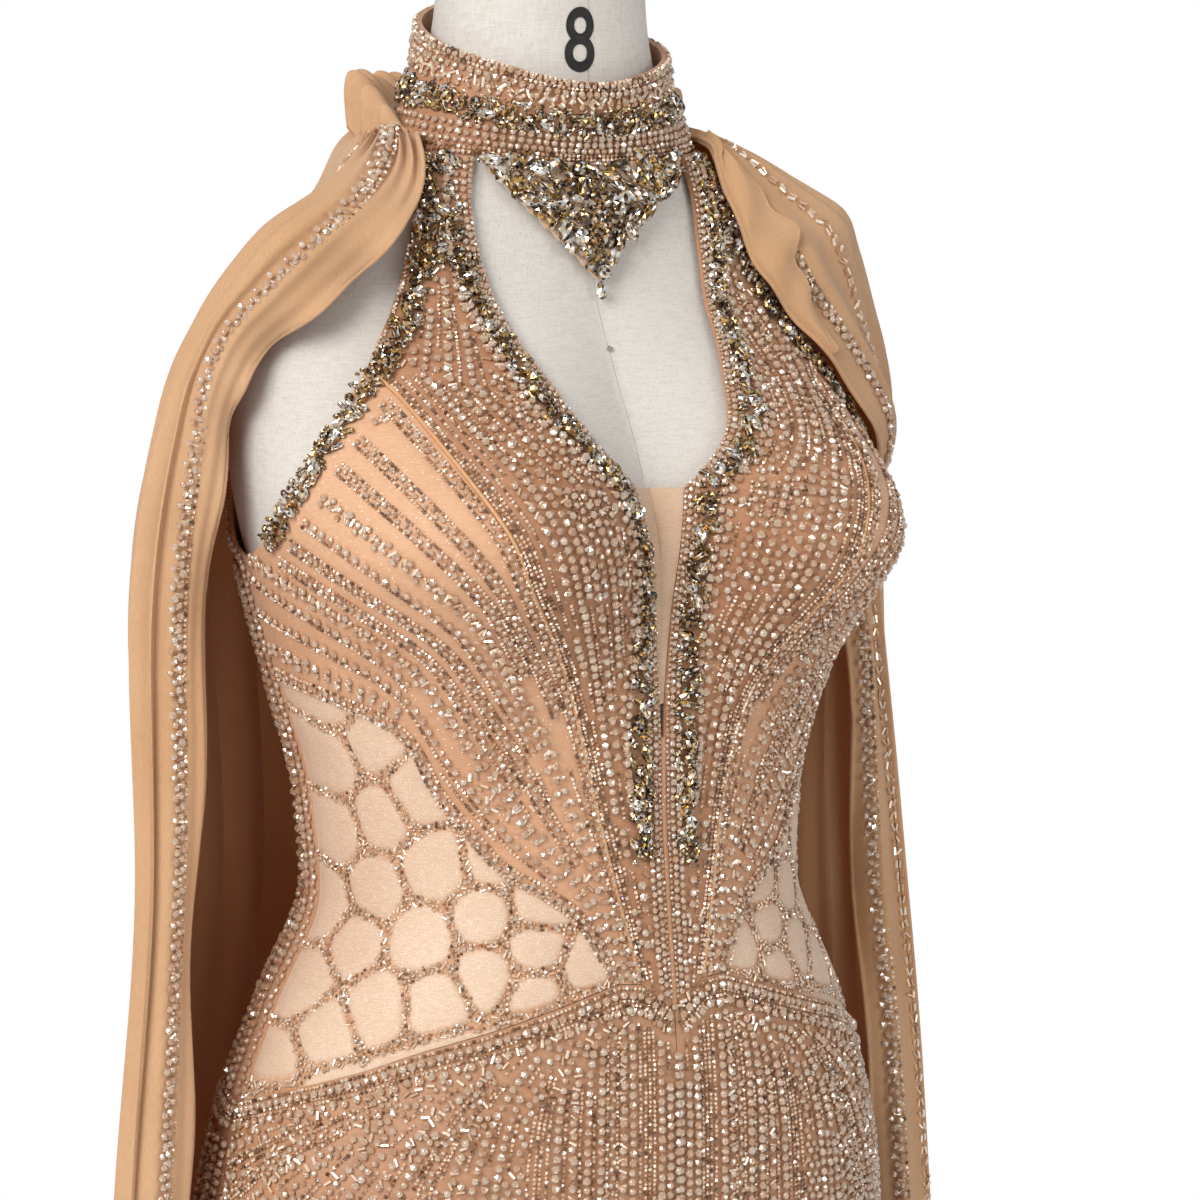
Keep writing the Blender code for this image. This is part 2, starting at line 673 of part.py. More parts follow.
CAPE_COLLAR_FROM = 16 * GATHER_STEP                    # the gathers' first angle
CAPE_COLLAR_SHARE = 0.12
CAPE_COLLAR_GAP = 0.0005      # between the collar's outer side and the gathers
CAPE_FOLDS = 3.5
CAPE_FOLD_DEPTH = 0.005
EDGE_WAVES = 8
EDGE_WAVE_DEPTH = 0.005


def cape_point(collar_faces, across, down):
    """The chiffon's smooth form, across from 0 at the front edge to 1 at the back edge."""
    angle = CAPE_COLLAR_FROM + GATHER_STEP * CAPE_COLUMNS * across
    outside = on_collar(angle, CAPE_COLLAR_SHARE, 2 * COLLAR_WALL)
    levels = [set_on(collar_faces, outside, CAPE_COLLAR_GAP)]
    levels += [spline([Vector(point) for point in row], across) for row in CAPE_ROWS]
    return spline(levels, down)


def cape_normal(collar_faces, across, down):
    step = 0.01
    a0, a1 = max(across - step, 0), min(across + step, 1)
    d0, d1 = max(down - step, 0), min(down + step, 1)
    along = cape_point(collar_faces, a1, down) - cape_point(collar_faces, a0, down)
    fall = cape_point(collar_faces, across, d1) - cape_point(collar_faces, across, d0)
    return fall.cross(along).normalized()


def cape_fold(across, down):
    """How far the folds move the cloth: long folds that deepen as it falls, and a waved front edge."""
    loose = min(max((down - 0.10) / 0.35, 0), 1)
    back_free = 1 - max((across - 0.80) / 0.20, 0)
    long_folds = CAPE_FOLD_DEPTH * loose * back_free * math.sin(2 * math.pi * CAPE_FOLDS * across)
    edge = math.exp(-across / 0.05) * min(down / 0.15, 1)
    waves = EDGE_WAVE_DEPTH * edge * math.sin(2 * math.pi * EDGE_WAVES * down)
    return long_folds + waves


def build_cape(side, letter, collar_faces):
    points = []
    for i in range(CAPE_LEVELS + 1):
        down = (i / CAPE_LEVELS) ** 1.25
        row = []
        for j in range(CAPE_COLUMNS + 1):
            across = j / CAPE_COLUMNS
            point = cape_point(collar_faces, across, down)
            point += cape_fold(across, down) * cape_normal(collar_faces, across, down)
            row.append(mirrored(point, side))
        points.append(row)
    mesh = grid_mesh(f"cape_{letter}", points, Vector((side, 0.6, 0)))
    solidify(add_object(f"cape_{letter}", mesh, CHIFFON), CHIFFON_WALL)


# ---------------------------------------------------------------- back buttons

BUTTON_COUNT = 8
BUTTON_RADIUS = 0.0052
BUTTON_HALF_HEIGHT = 0.0026
BUTTON_LIFT = 0.0004
BUTTON_TOP = 1.485
BUTTON_PITCH = 0.030


def build_buttons(collar, backs):
    """Covered buttons down centre back, the upper ones on the collar, just off the cloth."""
    tree = faces_of([collar] + backs)
    for i in range(BUTTON_COUNT):
        height = BUTTON_TOP - BUTTON_PITCH * i
        lower, upper = collar_bottom(180), collar_top(180)
        if height > lower:
            share = (height - lower) / (upper - lower)
            inner, outer = on_collar(180, share, 0), on_collar(180, share, 4 * COLLAR_WALL)
        else:
            inner, outer = on_gown(180, height, 0), on_gown(180, height, 4 * CLOTH_WALL)
        normal = (outer - inner).normalized()
        bm = bmesh.new()
        bmesh.ops.create_uvsphere(bm, u_segments=8, v_segments=4, radius=BUTTON_RADIUS)
        flat = BUTTON_HALF_HEIGHT / BUTTON_RADIUS
        bmesh.ops.scale(bm, vec=(1, 1, flat), verts=bm.verts)
        made = add_object(f"back_button_{i + 1:02d}", mesh_of(bm, "back_button"), BUTTONS)
        made.location = set_on(tree, outer, BUTTON_HALF_HEIGHT + BUTTON_LIFT)
        made.rotation_euler = normal.to_track_quat("Z", "Y").to_euler()


# ---------------------------------------------------------------- dress form and stand

FORM_COLUMNS = 32
FORM_LEVELS = [
    FORM_BOTTOM, 0.84, 0.88, 0.92, 0.95, 0.98, 1.01, 1.04, 1.07, 1.10, 1.13, 1.165, 1.20, 1.23, 1.255, 1.28,
    1.30, 1.32, 1.345, 1.37, 1.39, 1.41, 1.43, 1.45, 1.47, 1.495, 1.52, NECK_RIM,
]
NECK_CAP_PROFILE = [(0.0004, 1.0), (0.0090, 1.0), (0.0120, 0.92)]     # rise over the rim, scale
POLE_RADIUS = 0.016
BASE_RADIUS = 0.230
BASE_HEIGHT = 0.022


def build_form():
    rings = [
        [surface_point(form_section, 360 * j / FORM_COLUMNS, level) for j in range(FORM_COLUMNS)]
        for level in FORM_LEVELS
    ]
    add_object("form_torso", closed_mesh("form_torso", rings), LINEN)

    rim = [surface_point(form_section, 360 * j / FORM_COLUMNS, NECK_RIM) for j in range(FORM_COLUMNS)]
    middle = sum(rim, Vector()) / FORM_COLUMNS
    rings = []
    for rise, scale in NECK_CAP_PROFILE:
        rings.append([middle + (point - middle) * scale + Vector((0, 0, rise)) for point in rim])
    add_object("neck_cap", closed_mesh("neck_cap", rings), LINEN)


def turned(name, profile, centre, material, steps=28):
    """A body of revolution: the profile runs from the axis down its outer side and back to the axis."""
    mesh = bpy.data.meshes.new(name)
    mesh.from_pydata([(r, 0, z) for r, z in profile], [(i, i + 1) for i in range(len(profile) - 1)], [])
    made = bpy.data.objects.new(name, mesh)
    parts.objects.link(made)
    made.location = centre
    mesh.materials.append(material)
    screw = made.modifiers.new("turn", "SCREW")
    screw.steps = screw.render_steps = steps
    screw.use_merge_vertices = True
    screw.merge_threshold = 0.00005
    screw.use_smooth_shade = False
    return made


def build_stand():
    plate = [(0, -0.0004), (0.045, -0.0004), (0.045, -0.010), (0, -0.010)]
    turned("pole_flange", plate, (0, 0, FORM_BOTTOM), STEEL)
    pole_top, pole_foot = FORM_BOTTOM - 0.0107, BASE_HEIGHT + 0.0303
    pole = [(0, pole_top), (POLE_RADIUS, pole_top), (POLE_RADIUS, pole_foot), (0, pole_foot)]
    turned("stand_pole", pole, (0, 0, 0), STEEL, 20)
    base = [
        (0, BASE_HEIGHT + 0.030), (0.026, BASE_HEIGHT + 0.030), (0.030, BASE_HEIGHT + 0.006),
        (0.060, BASE_HEIGHT), (BASE_RADIUS - 0.02, 0.010), (BASE_RADIUS, 0.006), (BASE_RADIUS, 0), (0, 0),
    ]
    turned("stand_base", base, (0, 0, 0), STEEL, 32)


# ---------------------------------------------------------------- the whole

build_form()
build_stand()
collar = build_collar()
build_collar_trim(collar)
build_bib()
build_plunge_inset()
backs = []
for side, letter in ((-1, "R"), (1, "L")):
    *front_panels, back = build_bodice(side, letter)
    backs.append(back)
    build_trim(side, letter, front_panels)
    build_skirt(side, letter)
    build_cape(side, letter, faces_of([collar]))
build_buttons(collar, backs)
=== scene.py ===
"""Looks of a mermaid gown on its dress form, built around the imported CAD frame.

Frame: +Z up, the wearer faces -Y, metres and degrees. The body sections, the seam lines and the
cape rows repeat the part's own values, so each piece of cloth lies where its solid is. Beads,
bugles and stones are joined meshes stamped from small templates along lines on the cloth.
"""

import math
from collections import namedtuple
from itertools import combinations, product

import bpy
import numpy as np
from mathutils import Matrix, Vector
from mathutils.kdtree import KDTree


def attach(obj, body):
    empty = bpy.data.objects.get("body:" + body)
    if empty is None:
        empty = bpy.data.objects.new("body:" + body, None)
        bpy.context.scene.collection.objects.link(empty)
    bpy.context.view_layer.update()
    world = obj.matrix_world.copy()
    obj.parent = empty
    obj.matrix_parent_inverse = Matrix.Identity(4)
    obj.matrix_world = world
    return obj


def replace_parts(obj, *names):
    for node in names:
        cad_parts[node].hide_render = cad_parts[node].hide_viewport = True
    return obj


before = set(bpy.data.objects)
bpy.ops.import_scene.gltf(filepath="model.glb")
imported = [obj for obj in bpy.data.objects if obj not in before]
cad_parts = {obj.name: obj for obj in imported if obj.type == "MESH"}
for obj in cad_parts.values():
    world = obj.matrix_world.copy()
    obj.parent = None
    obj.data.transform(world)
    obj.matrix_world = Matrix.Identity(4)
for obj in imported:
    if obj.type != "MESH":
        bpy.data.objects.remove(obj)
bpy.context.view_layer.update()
rng = np.random.default_rng(8)

# ---------------------------------------------------------------- sizes shared with the part

CLOTH_LIFT = 0.0028
CLOTH_WALL = 0.0020
NET_WALL = 0.0012
CHIFFON_WALL = 0.0012
SEAM_GAP = 0.00034
SECTION_SQUARENESS = 2.15
SIDE_SEAM = 95.0
HEM_HEIGHT = 0.012
FORM_BOTTOM = 0.800
NECK_RIM = 1.548

# height, half breadth, front depth, back depth, centre y
TORSO = [
    (0.920, 0.177, 0.115, 0.133, 0.006), (0.980, 0.168, 0.113, 0.125, 0.003),
    (1.040, 0.147, 0.107, 0.109, 0.000), (1.100, 0.122, 0.100, 0.094, 0.000),
    (1.150, 0.127, 0.096, 0.095, 0.000), (1.200, 0.140, 0.096, 0.101, 0.002),
    (1.260, 0.155, 0.094, 0.106, 0.006), (1.310, 0.163, 0.083, 0.107, 0.009),
    (1.350, 0.162, 0.068, 0.103, 0.012), (1.380, 0.151, 0.055, 0.094, 0.012),
    (1.400, 0.135, 0.048, 0.086, 0.010), (1.418, 0.117, 0.045, 0.079, 0.010),
    (1.435, 0.099, 0.0445, 0.071, 0.010), (1.450, 0.084, 0.045, 0.064, 0.010),
    (1.465, 0.074, 0.045, 0.058, 0.010), (1.480, 0.0655, 0.0445, 0.053, 0.010),
    (1.500, 0.058, 0.044, 0.048, 0.009), (1.520, 0.054, 0.043, 0.046, 0.008),
    (1.560, 0.051, 0.042, 0.045, 0.006),
]
FORM_SECTIONS = [(0.800, 0.170, 0.106, 0.120, 0.008), (0.860, 0.176, 0.111, 0.130, 0.008)] + TORSO
GOWN_SECTIONS = [
    (0.012, 0.440, 0.430, 0.440, 0.000), (0.120, 0.345, 0.335, 0.342, 0.000),
    (0.220, 0.265, 0.252, 0.262, 0.000), (0.320, 0.205, 0.190, 0.200, 0.002),
    (0.420, 0.167, 0.148, 0.156, 0.004), (0.520, 0.155, 0.126, 0.134, 0.006),
    (0.650, 0.164, 0.118, 0.130, 0.008), (0.800, 0.175, 0.116, 0.132, 0.008),
] + TORSO

BUST_ANGLE, BUST_HEIGHT, BUST_DEPTH = 41.0, 1.276, 0.056
BUST_SPREAD_ANGLE, BUST_SPREAD_UP, BUST_SPREAD_DOWN, BUST_FLATNESS = 29.0, 0.072, 0.058, 2.2
FLUTES, FLUTE_TOP, FLUTE_DEPTH, FLUTE_EASE = 8, 0.500, 0.044, 1.5
# heights of the collar's edges at centre front, and half of what they rise towards the back
COLLAR_BOTTOM, COLLAR_BOTTOM_RISE = 1.4505, 0.0055
COLLAR_TOP, COLLAR_TOP_RISE = 1.4890, 0.0210

FINER = 3                # rows and columns here for each one of the solid
SEAM_SAMPLES = 401

# ---------------------------------------------------------------- curves through short tables


def table_curve(rows):
    """A function of the first column that gives the others, smoothly and without overshoot."""
    table = np.array(rows, float)
    knots, columns = table[:, 0], table[:, 1:]
    steps = np.diff(knots)
    rises = np.diff(columns, axis=0) / steps[:, None]
    slopes = np.zeros_like(columns)
    slopes[0], slopes[-1] = rises[0], rises[-1]
    for i in range(1, len(rises)):
        before, after = rises[i - 1], rises[i]
        near, far = 2 * steps[i] + steps[i - 1], steps[i] + 2 * steps[i - 1]
        same = before * after > 0
        safe_before, safe_after = np.where(same, before, 1), np.where(same, after, 1)
        slopes[i] = np.where(same, (near + far) / (near / safe_before + far / safe_after), 0)

    def at(value):
        value = np.clip(np.asarray(value, float), knots[0], knots[-1])
        i = np.clip(np.searchsorted(knots, value, side="right") - 1, 0, len(knots) - 2)
        step = steps[i]
        t = (value - knots[i]) / step
        weights = (
            (1 + 2 * t) * (1 - t) ** 2, t * (1 - t) ** 2 * step,
            t * t * (3 - 2 * t), t * t * (t - 1) * step,
        )
        terms = (columns[i], slopes[i], columns[i + 1], slopes[i + 1])
        return np.moveaxis(sum(w[..., None] * c for w, c in zip(weights, terms)), -1, 0)

    return at


def spline(points, t):
    """The Catmull-Rom curve through points (n, ..., d), at each t from 0 to 1."""
    points = np.asarray(points, float)
    padded = np.concatenate([2 * points[:1] - points[1:2], points, 2 * points[-1:] - points[-2:-1]])
    spans = len(points) - 1
    t = np.atleast_1d(t)
    i = np.minimum((t * spans).astype(int), spans - 1)
    u = (t * spans - i).reshape((-1,) + (1,) * (points.ndim - 1))
    before, a, b, after = padded[i], padded[i + 1], padded[i + 2], padded[i + 3]
    return 0.5 * (
        2 * a + (b - before) * u + (2 * before - 5 * a + 4 * b - after) * u**2
        + (3 * a - before - 3 * b + after) * u**3
    )


def columns_at(wanted, knots, table):
    """Each column of a table, read at these places between its knots."""
    return np.stack([np.interp(wanted, knots, column) for column in np.transpose(table)], -1)


def at_row(line, row):
    """Points of a line by their row, which may lie between two."""
    return columns_at(row, np.arange(len(line)), line)


def at_share(line, share):
    """Points of a line by their share of its rows, from 0 to 1."""
    return columns_at(share, np.linspace(0, 1, len(line)), line)


def lengths_along(points):
    """The length of a line of points up to each of them."""
    return np.concatenate([[0], np.cumsum(np.linalg.norm(np.diff(points, axis=0), axis=1))])


def between(a, b, share):
    return a + (b - a) * share


def ease(value):
    """From 0 to 1, slowly at both ends."""
    value = np.clip(value, 0, 1)
    return value * value * (3 - 2 * value)


# ---------------------------------------------------------------- the body surface

form_section = table_curve(FORM_SECTIONS)
gown_section = table_curve(GOWN_SECTIONS)


def surface(section, angle, height):
    """Points of the form or the gown. Angle 0 is centre front, positive towards the wearer's left."""
    half_breadth, front, back, centre_y = section(height)
    turn = np.radians(angle)
    depth = np.where(np.cos(turn) > 0, front, back)
    radius = (
        np.abs(np.sin(turn) / half_breadth) ** SECTION_SQUARENESS
        + np.abs(np.cos(turn) / depth) ** SECTION_SQUARENESS
    ) ** (-1 / SECTION_SQUARENESS)
    wrapped = (angle + 180) % 360 - 180
    up = height - BUST_HEIGHT
    spread = np.where(up > 0, BUST_SPREAD_UP, BUST_SPREAD_DOWN)
    across = np.abs(np.abs(wrapped) - BUST_ANGLE) / BUST_SPREAD_ANGLE
    radius = radius + BUST_DEPTH * np.exp(-(across**BUST_FLATNESS) - (up / spread) ** 2)
    if section is gown_section:
        share = np.clip((FLUTE_TOP - height) / (FLUTE_TOP - HEM_HEIGHT), 0, 1)
        radius = radius + FLUTE_DEPTH * share**FLUTE_EASE * np.cos(np.radians(FLUTES * wrapped))
    return np.stack([radius * np.sin(turn), centre_y - radius * np.cos(turn), height + 0 * radius], -1)


def unit(vectors):
    return vectors / np.maximum(np.linalg.norm(vectors, axis=-1, keepdims=True), 1e-12)


def surface_normal(section, angle, height):
    across = surface(section, angle + 0.5, height) - surface(section, angle - 0.5, height)
    rise = surface(section, angle, height + 0.001) - surface(section, angle, height - 0.001)
    return unit(np.cross(across, rise))


def lifted(section, angle, height, lift):
    """Points this far off the form or the gown, and the normals there."""
    angle, height = np.asarray(angle, float), np.asarray(height, float)
    normal = surface_normal(section, angle, height)
    return surface(section, angle, height) + np.asarray(lift)[..., None] * normal, normal


def flip_side(points, side):
    return points * np.array([side, 1, 1])


def on_gown(spots, lift, side=1):
    """Points this far off the gown at (angle, height) on one of its sides, and the normals there."""
    points, normals = lifted(gown_section, spots[..., 0], spots[..., 1], lift)
    return flip_side(points, side), flip_side(normals, side)


# ---------------------------------------------------------------- seam lines, as (angle, height)


def collar_bottom(angle):
    return COLLAR_BOTTOM + COLLAR_BOTTOM_RISE * (1 - np.cos(np.radians(angle)))


def collar_top(angle):
    return COLLAR_TOP + COLLAR_TOP_RISE * (1 - np.cos(np.radians(angle)))


COLLAR_JOIN = 0.0006


def under_collar(angle):
    """Where a seam meets the collar's lower edge."""
    return angle, collar_bottom(angle) - COLLAR_JOIN


PLUNGE_TOP = (9, 1.2945)
STRAP_FOOT = (68.2, 1.352)
UNDERARM = (SIDE_SEAM, 1.262)
INSET_AT_SIDE = (SIDE_SEAM, 1.204)
WAIST_MIDDLE, PRINCESS_FOOT, INSET_CORNER = (0, 1.045), (9.5, 1.0590), (16, 1.0600)
WAIST_AT_SIDE, WAIST_AT_BACK = (SIDE_SEAM, 0.997), (180, 1.020)

KEYHOLE = [
    under_collar(60), (59.5, 1.430), (54, 1.400), (42, 1.370),
    (30.5, 1.345), (21.5, 1.320), (14, 1.303), PLUNGE_TOP,
]
PLUNGE = [PLUNGE_TOP, (6.4, 1.272), (3.9, 1.243), (1.6, 1.205), (0.3, 1.175)]
CENTRE_FRONT = [(0, 1.175), WAIST_MIDDLE]
ARMHOLE_STRAP = [under_collar(76), (73, 1.433), (71, 1.404), (69, 1.381), STRAP_FOOT]
PRINCESS = [
    STRAP_FOOT, (58.3, 1.334), (47.2, 1.309), (38.2, 1.279), (34.4, 1.250),
    (28.2, 1.204), (21.5, 1.150), (15, 1.100), PRINCESS_FOOT,
]
ARMHOLE_SIDE = [STRAP_FOOT, (69, 1.340), (71.2, 1.321), (75.5, 1.298), (84, 1.274), UNDERARM]
SIDE_UPPER = [UNDERARM, INSET_AT_SIDE]
INSET_TOP = [
    INSET_AT_SIDE, (80, 1.198), (68, 1.188), (62.6, 1.176), (58.5, 1.152),
    (51, 1.131), (44, 1.115), (35, 1.105), (25, 1.090), INSET_CORNER,
]
WAIST_POINT = [WAIST_MIDDLE, PRINCESS_FOOT]
WAIST_TURN = [PRINCESS_FOOT, INSET_CORNER]
WAIST_SIDE = [INSET_CORNER, (25.4, 1.054), (43, 1.042), (58, 1.031), (72, 1.017), WAIST_AT_SIDE]
SIDE_LOWER = [INSET_AT_SIDE, WAIST_AT_SIDE]
WAIST_BACK = [WAIST_AT_SIDE, WAIST_AT_BACK]
ARMHOLE_BACK = [
    UNDERARM, (108, 1.276), (119, 1.315), (125, 1.365), (127, 1.410), (124, 1.436), under_collar(118),
]
CENTRE_BACK = [under_collar(180), WAIST_AT_BACK]


def seam(points, count):
    """Evenly spaced (angle, height) points along a seam line."""
    fine = spline(points, np.linspace(0, 1, SEAM_SAMPLES))
    run = lengths_along(surface(gown_section, fine[:, 0], fine[:, 1]))
    return columns_at(np.linspace(0, run[-1], count * FINER + 1), run, fine)


def chain(*parts):
    return np.concatenate([parts[0]] + [part[1:] for part in parts[1:]])


keyhole, plunge, centre_front = seam(KEYHOLE, 14), seam(PLUNGE, 7), seam(CENTRE_FRONT, 6)
armhole_strap, princess, armhole_side = seam(ARMHOLE_STRAP, 10), seam(PRINCESS, 17), seam(ARMHOLE_SIDE, 5)
side_upper, inset_top, side_lower = seam(SIDE_UPPER, 2), seam(INSET_TOP, 10), seam(SIDE_LOWER, 6)
waist_point, waist_turn, waist_side = seam(WAIST_POINT, 2), seam(WAIST_TURN, 1), seam(WAIST_SIDE, 10)
waist_back, armhole_back, centre_back = seam(WAIST_BACK, 12), seam(ARMHOLE_BACK, 10), seam(CENTRE_BACK, 18)
inner_edge = chain(keyhole, plunge, centre_front)
outer_edge = chain(armhole_strap, princess)
side_edge = chain(armhole_side, side_upper, inset_top)
back_edge = chain(armhole_back[::-1], side_upper, side_lower)
waist_front = chain(waist_point, waist_turn, waist_side)

# ---------------------------------------------------------------- materials

WHITE = (255, 255, 255)


def srgb(red, green, blue):
    """A colour given as it shows on a screen, from 0 to 255, in the renderer's own terms."""
    values = np.array([red, green, blue]) / 255
    return np.where(values <= 0.04045, values / 12.92, ((values + 0.055) / 1.055) ** 2.4)


def opaque(colour):
    return (*srgb(*colour), 1)


def feed(tree, socket, value):
    """Sets a shader node's input to a value, or links another node's output to it."""
    if isinstance(value, bpy.types.NodeSocket):
        tree.links.new(value, socket)
    else:
        socket.default_value = value


def add_node(tree, kind, settings=None, **inputs):
    """A shader node. Its inputs go by their names, or by i0, i1 and so on in their order."""
    made = tree.nodes.new(kind)
    for key, value in (settings or {}).items():
        setattr(made, key, value)
    for key, value in inputs.items():
        socket = int(key[1:]) if key[1:].isdigit() else key.replace("_", " ")
        feed(tree, made.inputs[socket], value)
    return made


class Look:
    """A procedural material: a Principled shader and the nodes that feed it."""

    def __init__(self, name, colour, roughness, **sockets):
        self.material = bpy.data.materials.new(name)
        self.material.use_nodes = True
        self.tree = self.material.node_tree
        self.shader = self.tree.nodes["Principled BSDF"]
        self.set(Base_Color=opaque(colour), Roughness=roughness, **sockets)
        self.place = self.node("ShaderNodeTexCoord").outputs["Object"]

    def node(self, kind, settings=None, **inputs):
        return add_node(self.tree, kind, settings, **inputs)

    def set(self, **sockets):
        for key, value in sockets.items():
            feed(self.tree, self.shader.inputs[key.replace("_", " ")], value)

    def stretched(self, scale):
        return self.node("ShaderNodeMapping", None, Vector=self.place, Scale=scale).outputs["Vector"]

    def noise(self, scale, detail=2.0, vector=None):
        made = self.node("ShaderNodeTexNoise", None, Vector=vector or self.place, Scale=scale, Detail=detail)
        return made.outputs["Fac"]

    def cells(self, scale, randomness=1.0):
        """Small cells all over: the distance from each one's middle, and a number of its own."""
        made = self.node(
            "ShaderNodeTexVoronoi", None, Vector=self.place, Scale=scale, Randomness=randomness)
        split = self.node("ShaderNodeSeparateColor", None, Color=made.outputs["Color"])
        return made.outputs["Distance"], split.outputs[0]

    def value_of(self, attribute, output="Fac"):
        return self.node("ShaderNodeAttribute", {"attribute_name": attribute}).outputs[output]

    def ramp(self, value, *stops):
        """stops are (position, (r, g, b) as on a screen)."""
        made = self.node("ShaderNodeValToRGB", None, Fac=value)
        band = made.color_ramp
        while len(band.elements) < len(stops):
            band.elements.new(0.5)
        for element, (position, colour) in zip(band.elements, stops):
            element.position = position
            element.color = opaque(colour)
        return made.outputs["Color"]

    def shade(self, value, low, colour, high):
        """A tint to multiply by: the colour where the value is low, and none where it is high."""
        return self.ramp(value, (low, colour), (high, WHITE))

    def math(self, operation, a, b=0.0):
        return self.node("ShaderNodeMath", {"operation": operation}, i0=a, i1=b).outputs[0]

    def spread(self, value, low, high, to_low, to_high):
        limits = {"From_Min": low, "From_Max": high, "To_Min": to_low, "To_Max": to_high}
        return self.node("ShaderNodeMapRange", None, Value=value, **limits).outputs[0]

    def mix(self, kind, share, a, b):
        made = self.node("ShaderNodeMix", {"data_type": "RGBA", "blend_type": kind})
        feed(self.tree, made.inputs["Factor"], share)
        for socket, value in zip([s for s in made.inputs if s.type == "RGBA"], (a, b)):
            linked = isinstance(value, bpy.types.NodeSocket)
            feed(self.tree, socket, value if linked else opaque(value))
        return [s for s in made.outputs if s.type == "RGBA"][0]

    def bump(self, height, distance, strength=1.0):
        made = self.node("ShaderNodeBump", None, Height=height, Distance=distance, Strength=strength)
        return made.outputs["Normal"]


NUDE, NUDE_SHADE = (216, 171, 136), (197, 149, 115)
# the flecks' near-white colour is a painted glint
CLOTH_ROUGHNESS, FLAKE_ROUGHNESS, FLAKE_GLINT_COLOUR = 0.62, 0.18, (255, 246, 236)
KNIT, KNIT_DEPTH, KNIT_SHADE = (260, 260, 2400), 0.00006, (205, 190, 178)
# painted shade along the lines between the net's cells, where their beads sit
LINE_PAINTED_SHADE = (234, 206, 180)


def knitted(look, colour):
    """The colour with the fine ribs of knitted net on it, and the ribs themselves."""
    ribs = look.noise(1.0, 2, look.stretched(KNIT))
    return look.mix("MULTIPLY", 0.35, colour, look.shade(ribs, 0.3, KNIT_SHADE, 0.62)), ribs


def cloth_look(name, light, dark, speckle, flakes=1250.0):
    """Fine knitted net: ribs across, uneven colour, painted shade on marked lines, flecks painted white as
    glints.
    """
    look = Look(name, light, CLOTH_ROUGHNESS, Sheen_Weight=0.25, Sheen_Roughness=0.4, Specular_IOR_Level=0.35)
    ribbed, ribs = knitted(look, look.ramp(look.noise(9, 3), (0.34, dark), (0.66, light)))
    # painted shade along the lines that a piece marks, as the net insets do between their cells
    toned = look.mix("MULTIPLY", look.value_of("line"), ribbed, LINE_PAINTED_SHADE)
    distance, number = look.cells(flakes)
    chosen, small = look.math("GREATER_THAN", number, 1 - speckle), look.math("LESS_THAN", distance, 0.36)
    # tiny flecks painted near white as glints, and less rough than the cloth
    glint_flecks = look.math("MULTIPLY", chosen, small)
    look.set(
        Base_Color=look.mix("MIX", glint_flecks, toned, FLAKE_GLINT_COLOUR),
        Roughness=look.spread(glint_flecks, 0, 1, CLOTH_ROUGHNESS, FLAKE_ROUGHNESS),
        Normal=look.bump(ribs, KNIT_DEPTH),
    )
    return look


SEEDS_FROM, SEEDS_FADE = 0.945, 0.05    # below this height the finest seeds cover the skirt's cloth
SEED_TONES = (
    (0.0, (176, 134, 108)), (0.45, (226, 186, 156)), (0.8, (240, 214, 192)), (1.0, (255, 248, 240)))


def seeded_cloth():
    """The skirt's cloth, worked all over lower down with seed beads too small to build one by one, painted shade
    between.
    """
    look = Look("seeded_cloth", NUDE, 0.45, Specular_IOR_Level=0.6)
    distance, number = look.cells(255.0, 0.72)
    dome = look.spread(distance, 0.05, 0.55, 1, 0)
    # painted shade in the gaps between the seed beads
    gap = look.ramp(distance, (0.22, WHITE), (0.62, (176, 128, 96)))
    cloud = look.shade(look.noise(14, 3), 0.35, (236, 222, 210), 0.65)
    beads = look.mix("MULTIPLY", 0.85, look.ramp(number, *SEED_TONES), gap)
    height = look.node("ShaderNodeSeparateXYZ", None, Vector=look.place).outputs["Z"]
    low = look.spread(height, SEEDS_FROM, SEEDS_FROM - SEEDS_FADE, 0, 1)
    # higher up, the cloth darker than its own colour: painted shade between the beads built there
    plain, _ = knitted(look, (186, 140, 106))
    bead_roughness, plain_roughness = look.spread(number, 0.5, 1.0, 0.42, 0.14), look.spread(low, 0, 1, 0.6, 0)
    look.set(
        Base_Color=look.mix("MIX", low, plain, look.mix("MULTIPLY", 1.0, beads, cloud)),
        Roughness=look.math("MAXIMUM", bead_roughness, plain_roughness),
        Metallic=look.math("MULTIPLY", look.spread(number, 0.55, 1.0, 0.05, 0.75), low),
        Normal=look.bump(look.math("MULTIPLY", dome, low), 0.0011, 0.9),
    )
    return look


def chiffon_look():
    """Matt chiffon, through which some of the light falls."""
    look = Look("chiffon", (226, 184, 142), 0.74, Sheen_Weight=0.3, Sheen_Roughness=0.5, Specular_IOR_Level=0.25)
    grain = look.noise(1.0, 2, look.stretched((1500, 1500, 260)))
    cloud = look.ramp(look.noise(7, 3), (0.3, (212, 168, 124)), (0.7, (230, 190, 150)))
    toned = look.mix("MULTIPLY", 0.25, cloud, look.shade(grain, 0.3, (200, 190, 180), 0.65))
    look.set(Base_Color=toned, Normal=look.bump(grain, 0.00005))
    through = look.node("ShaderNodeBsdfTranslucent", None, Color=opaque((222, 162, 104)))
    mixed = look.node(
        "ShaderNodeMixShader", None, i0=0.26, i1=look.shader.outputs[0], i2=through.outputs[0])
    feed(look.tree, look.tree.nodes["Material Output"].inputs["Surface"], mixed.outputs[0])
    return look


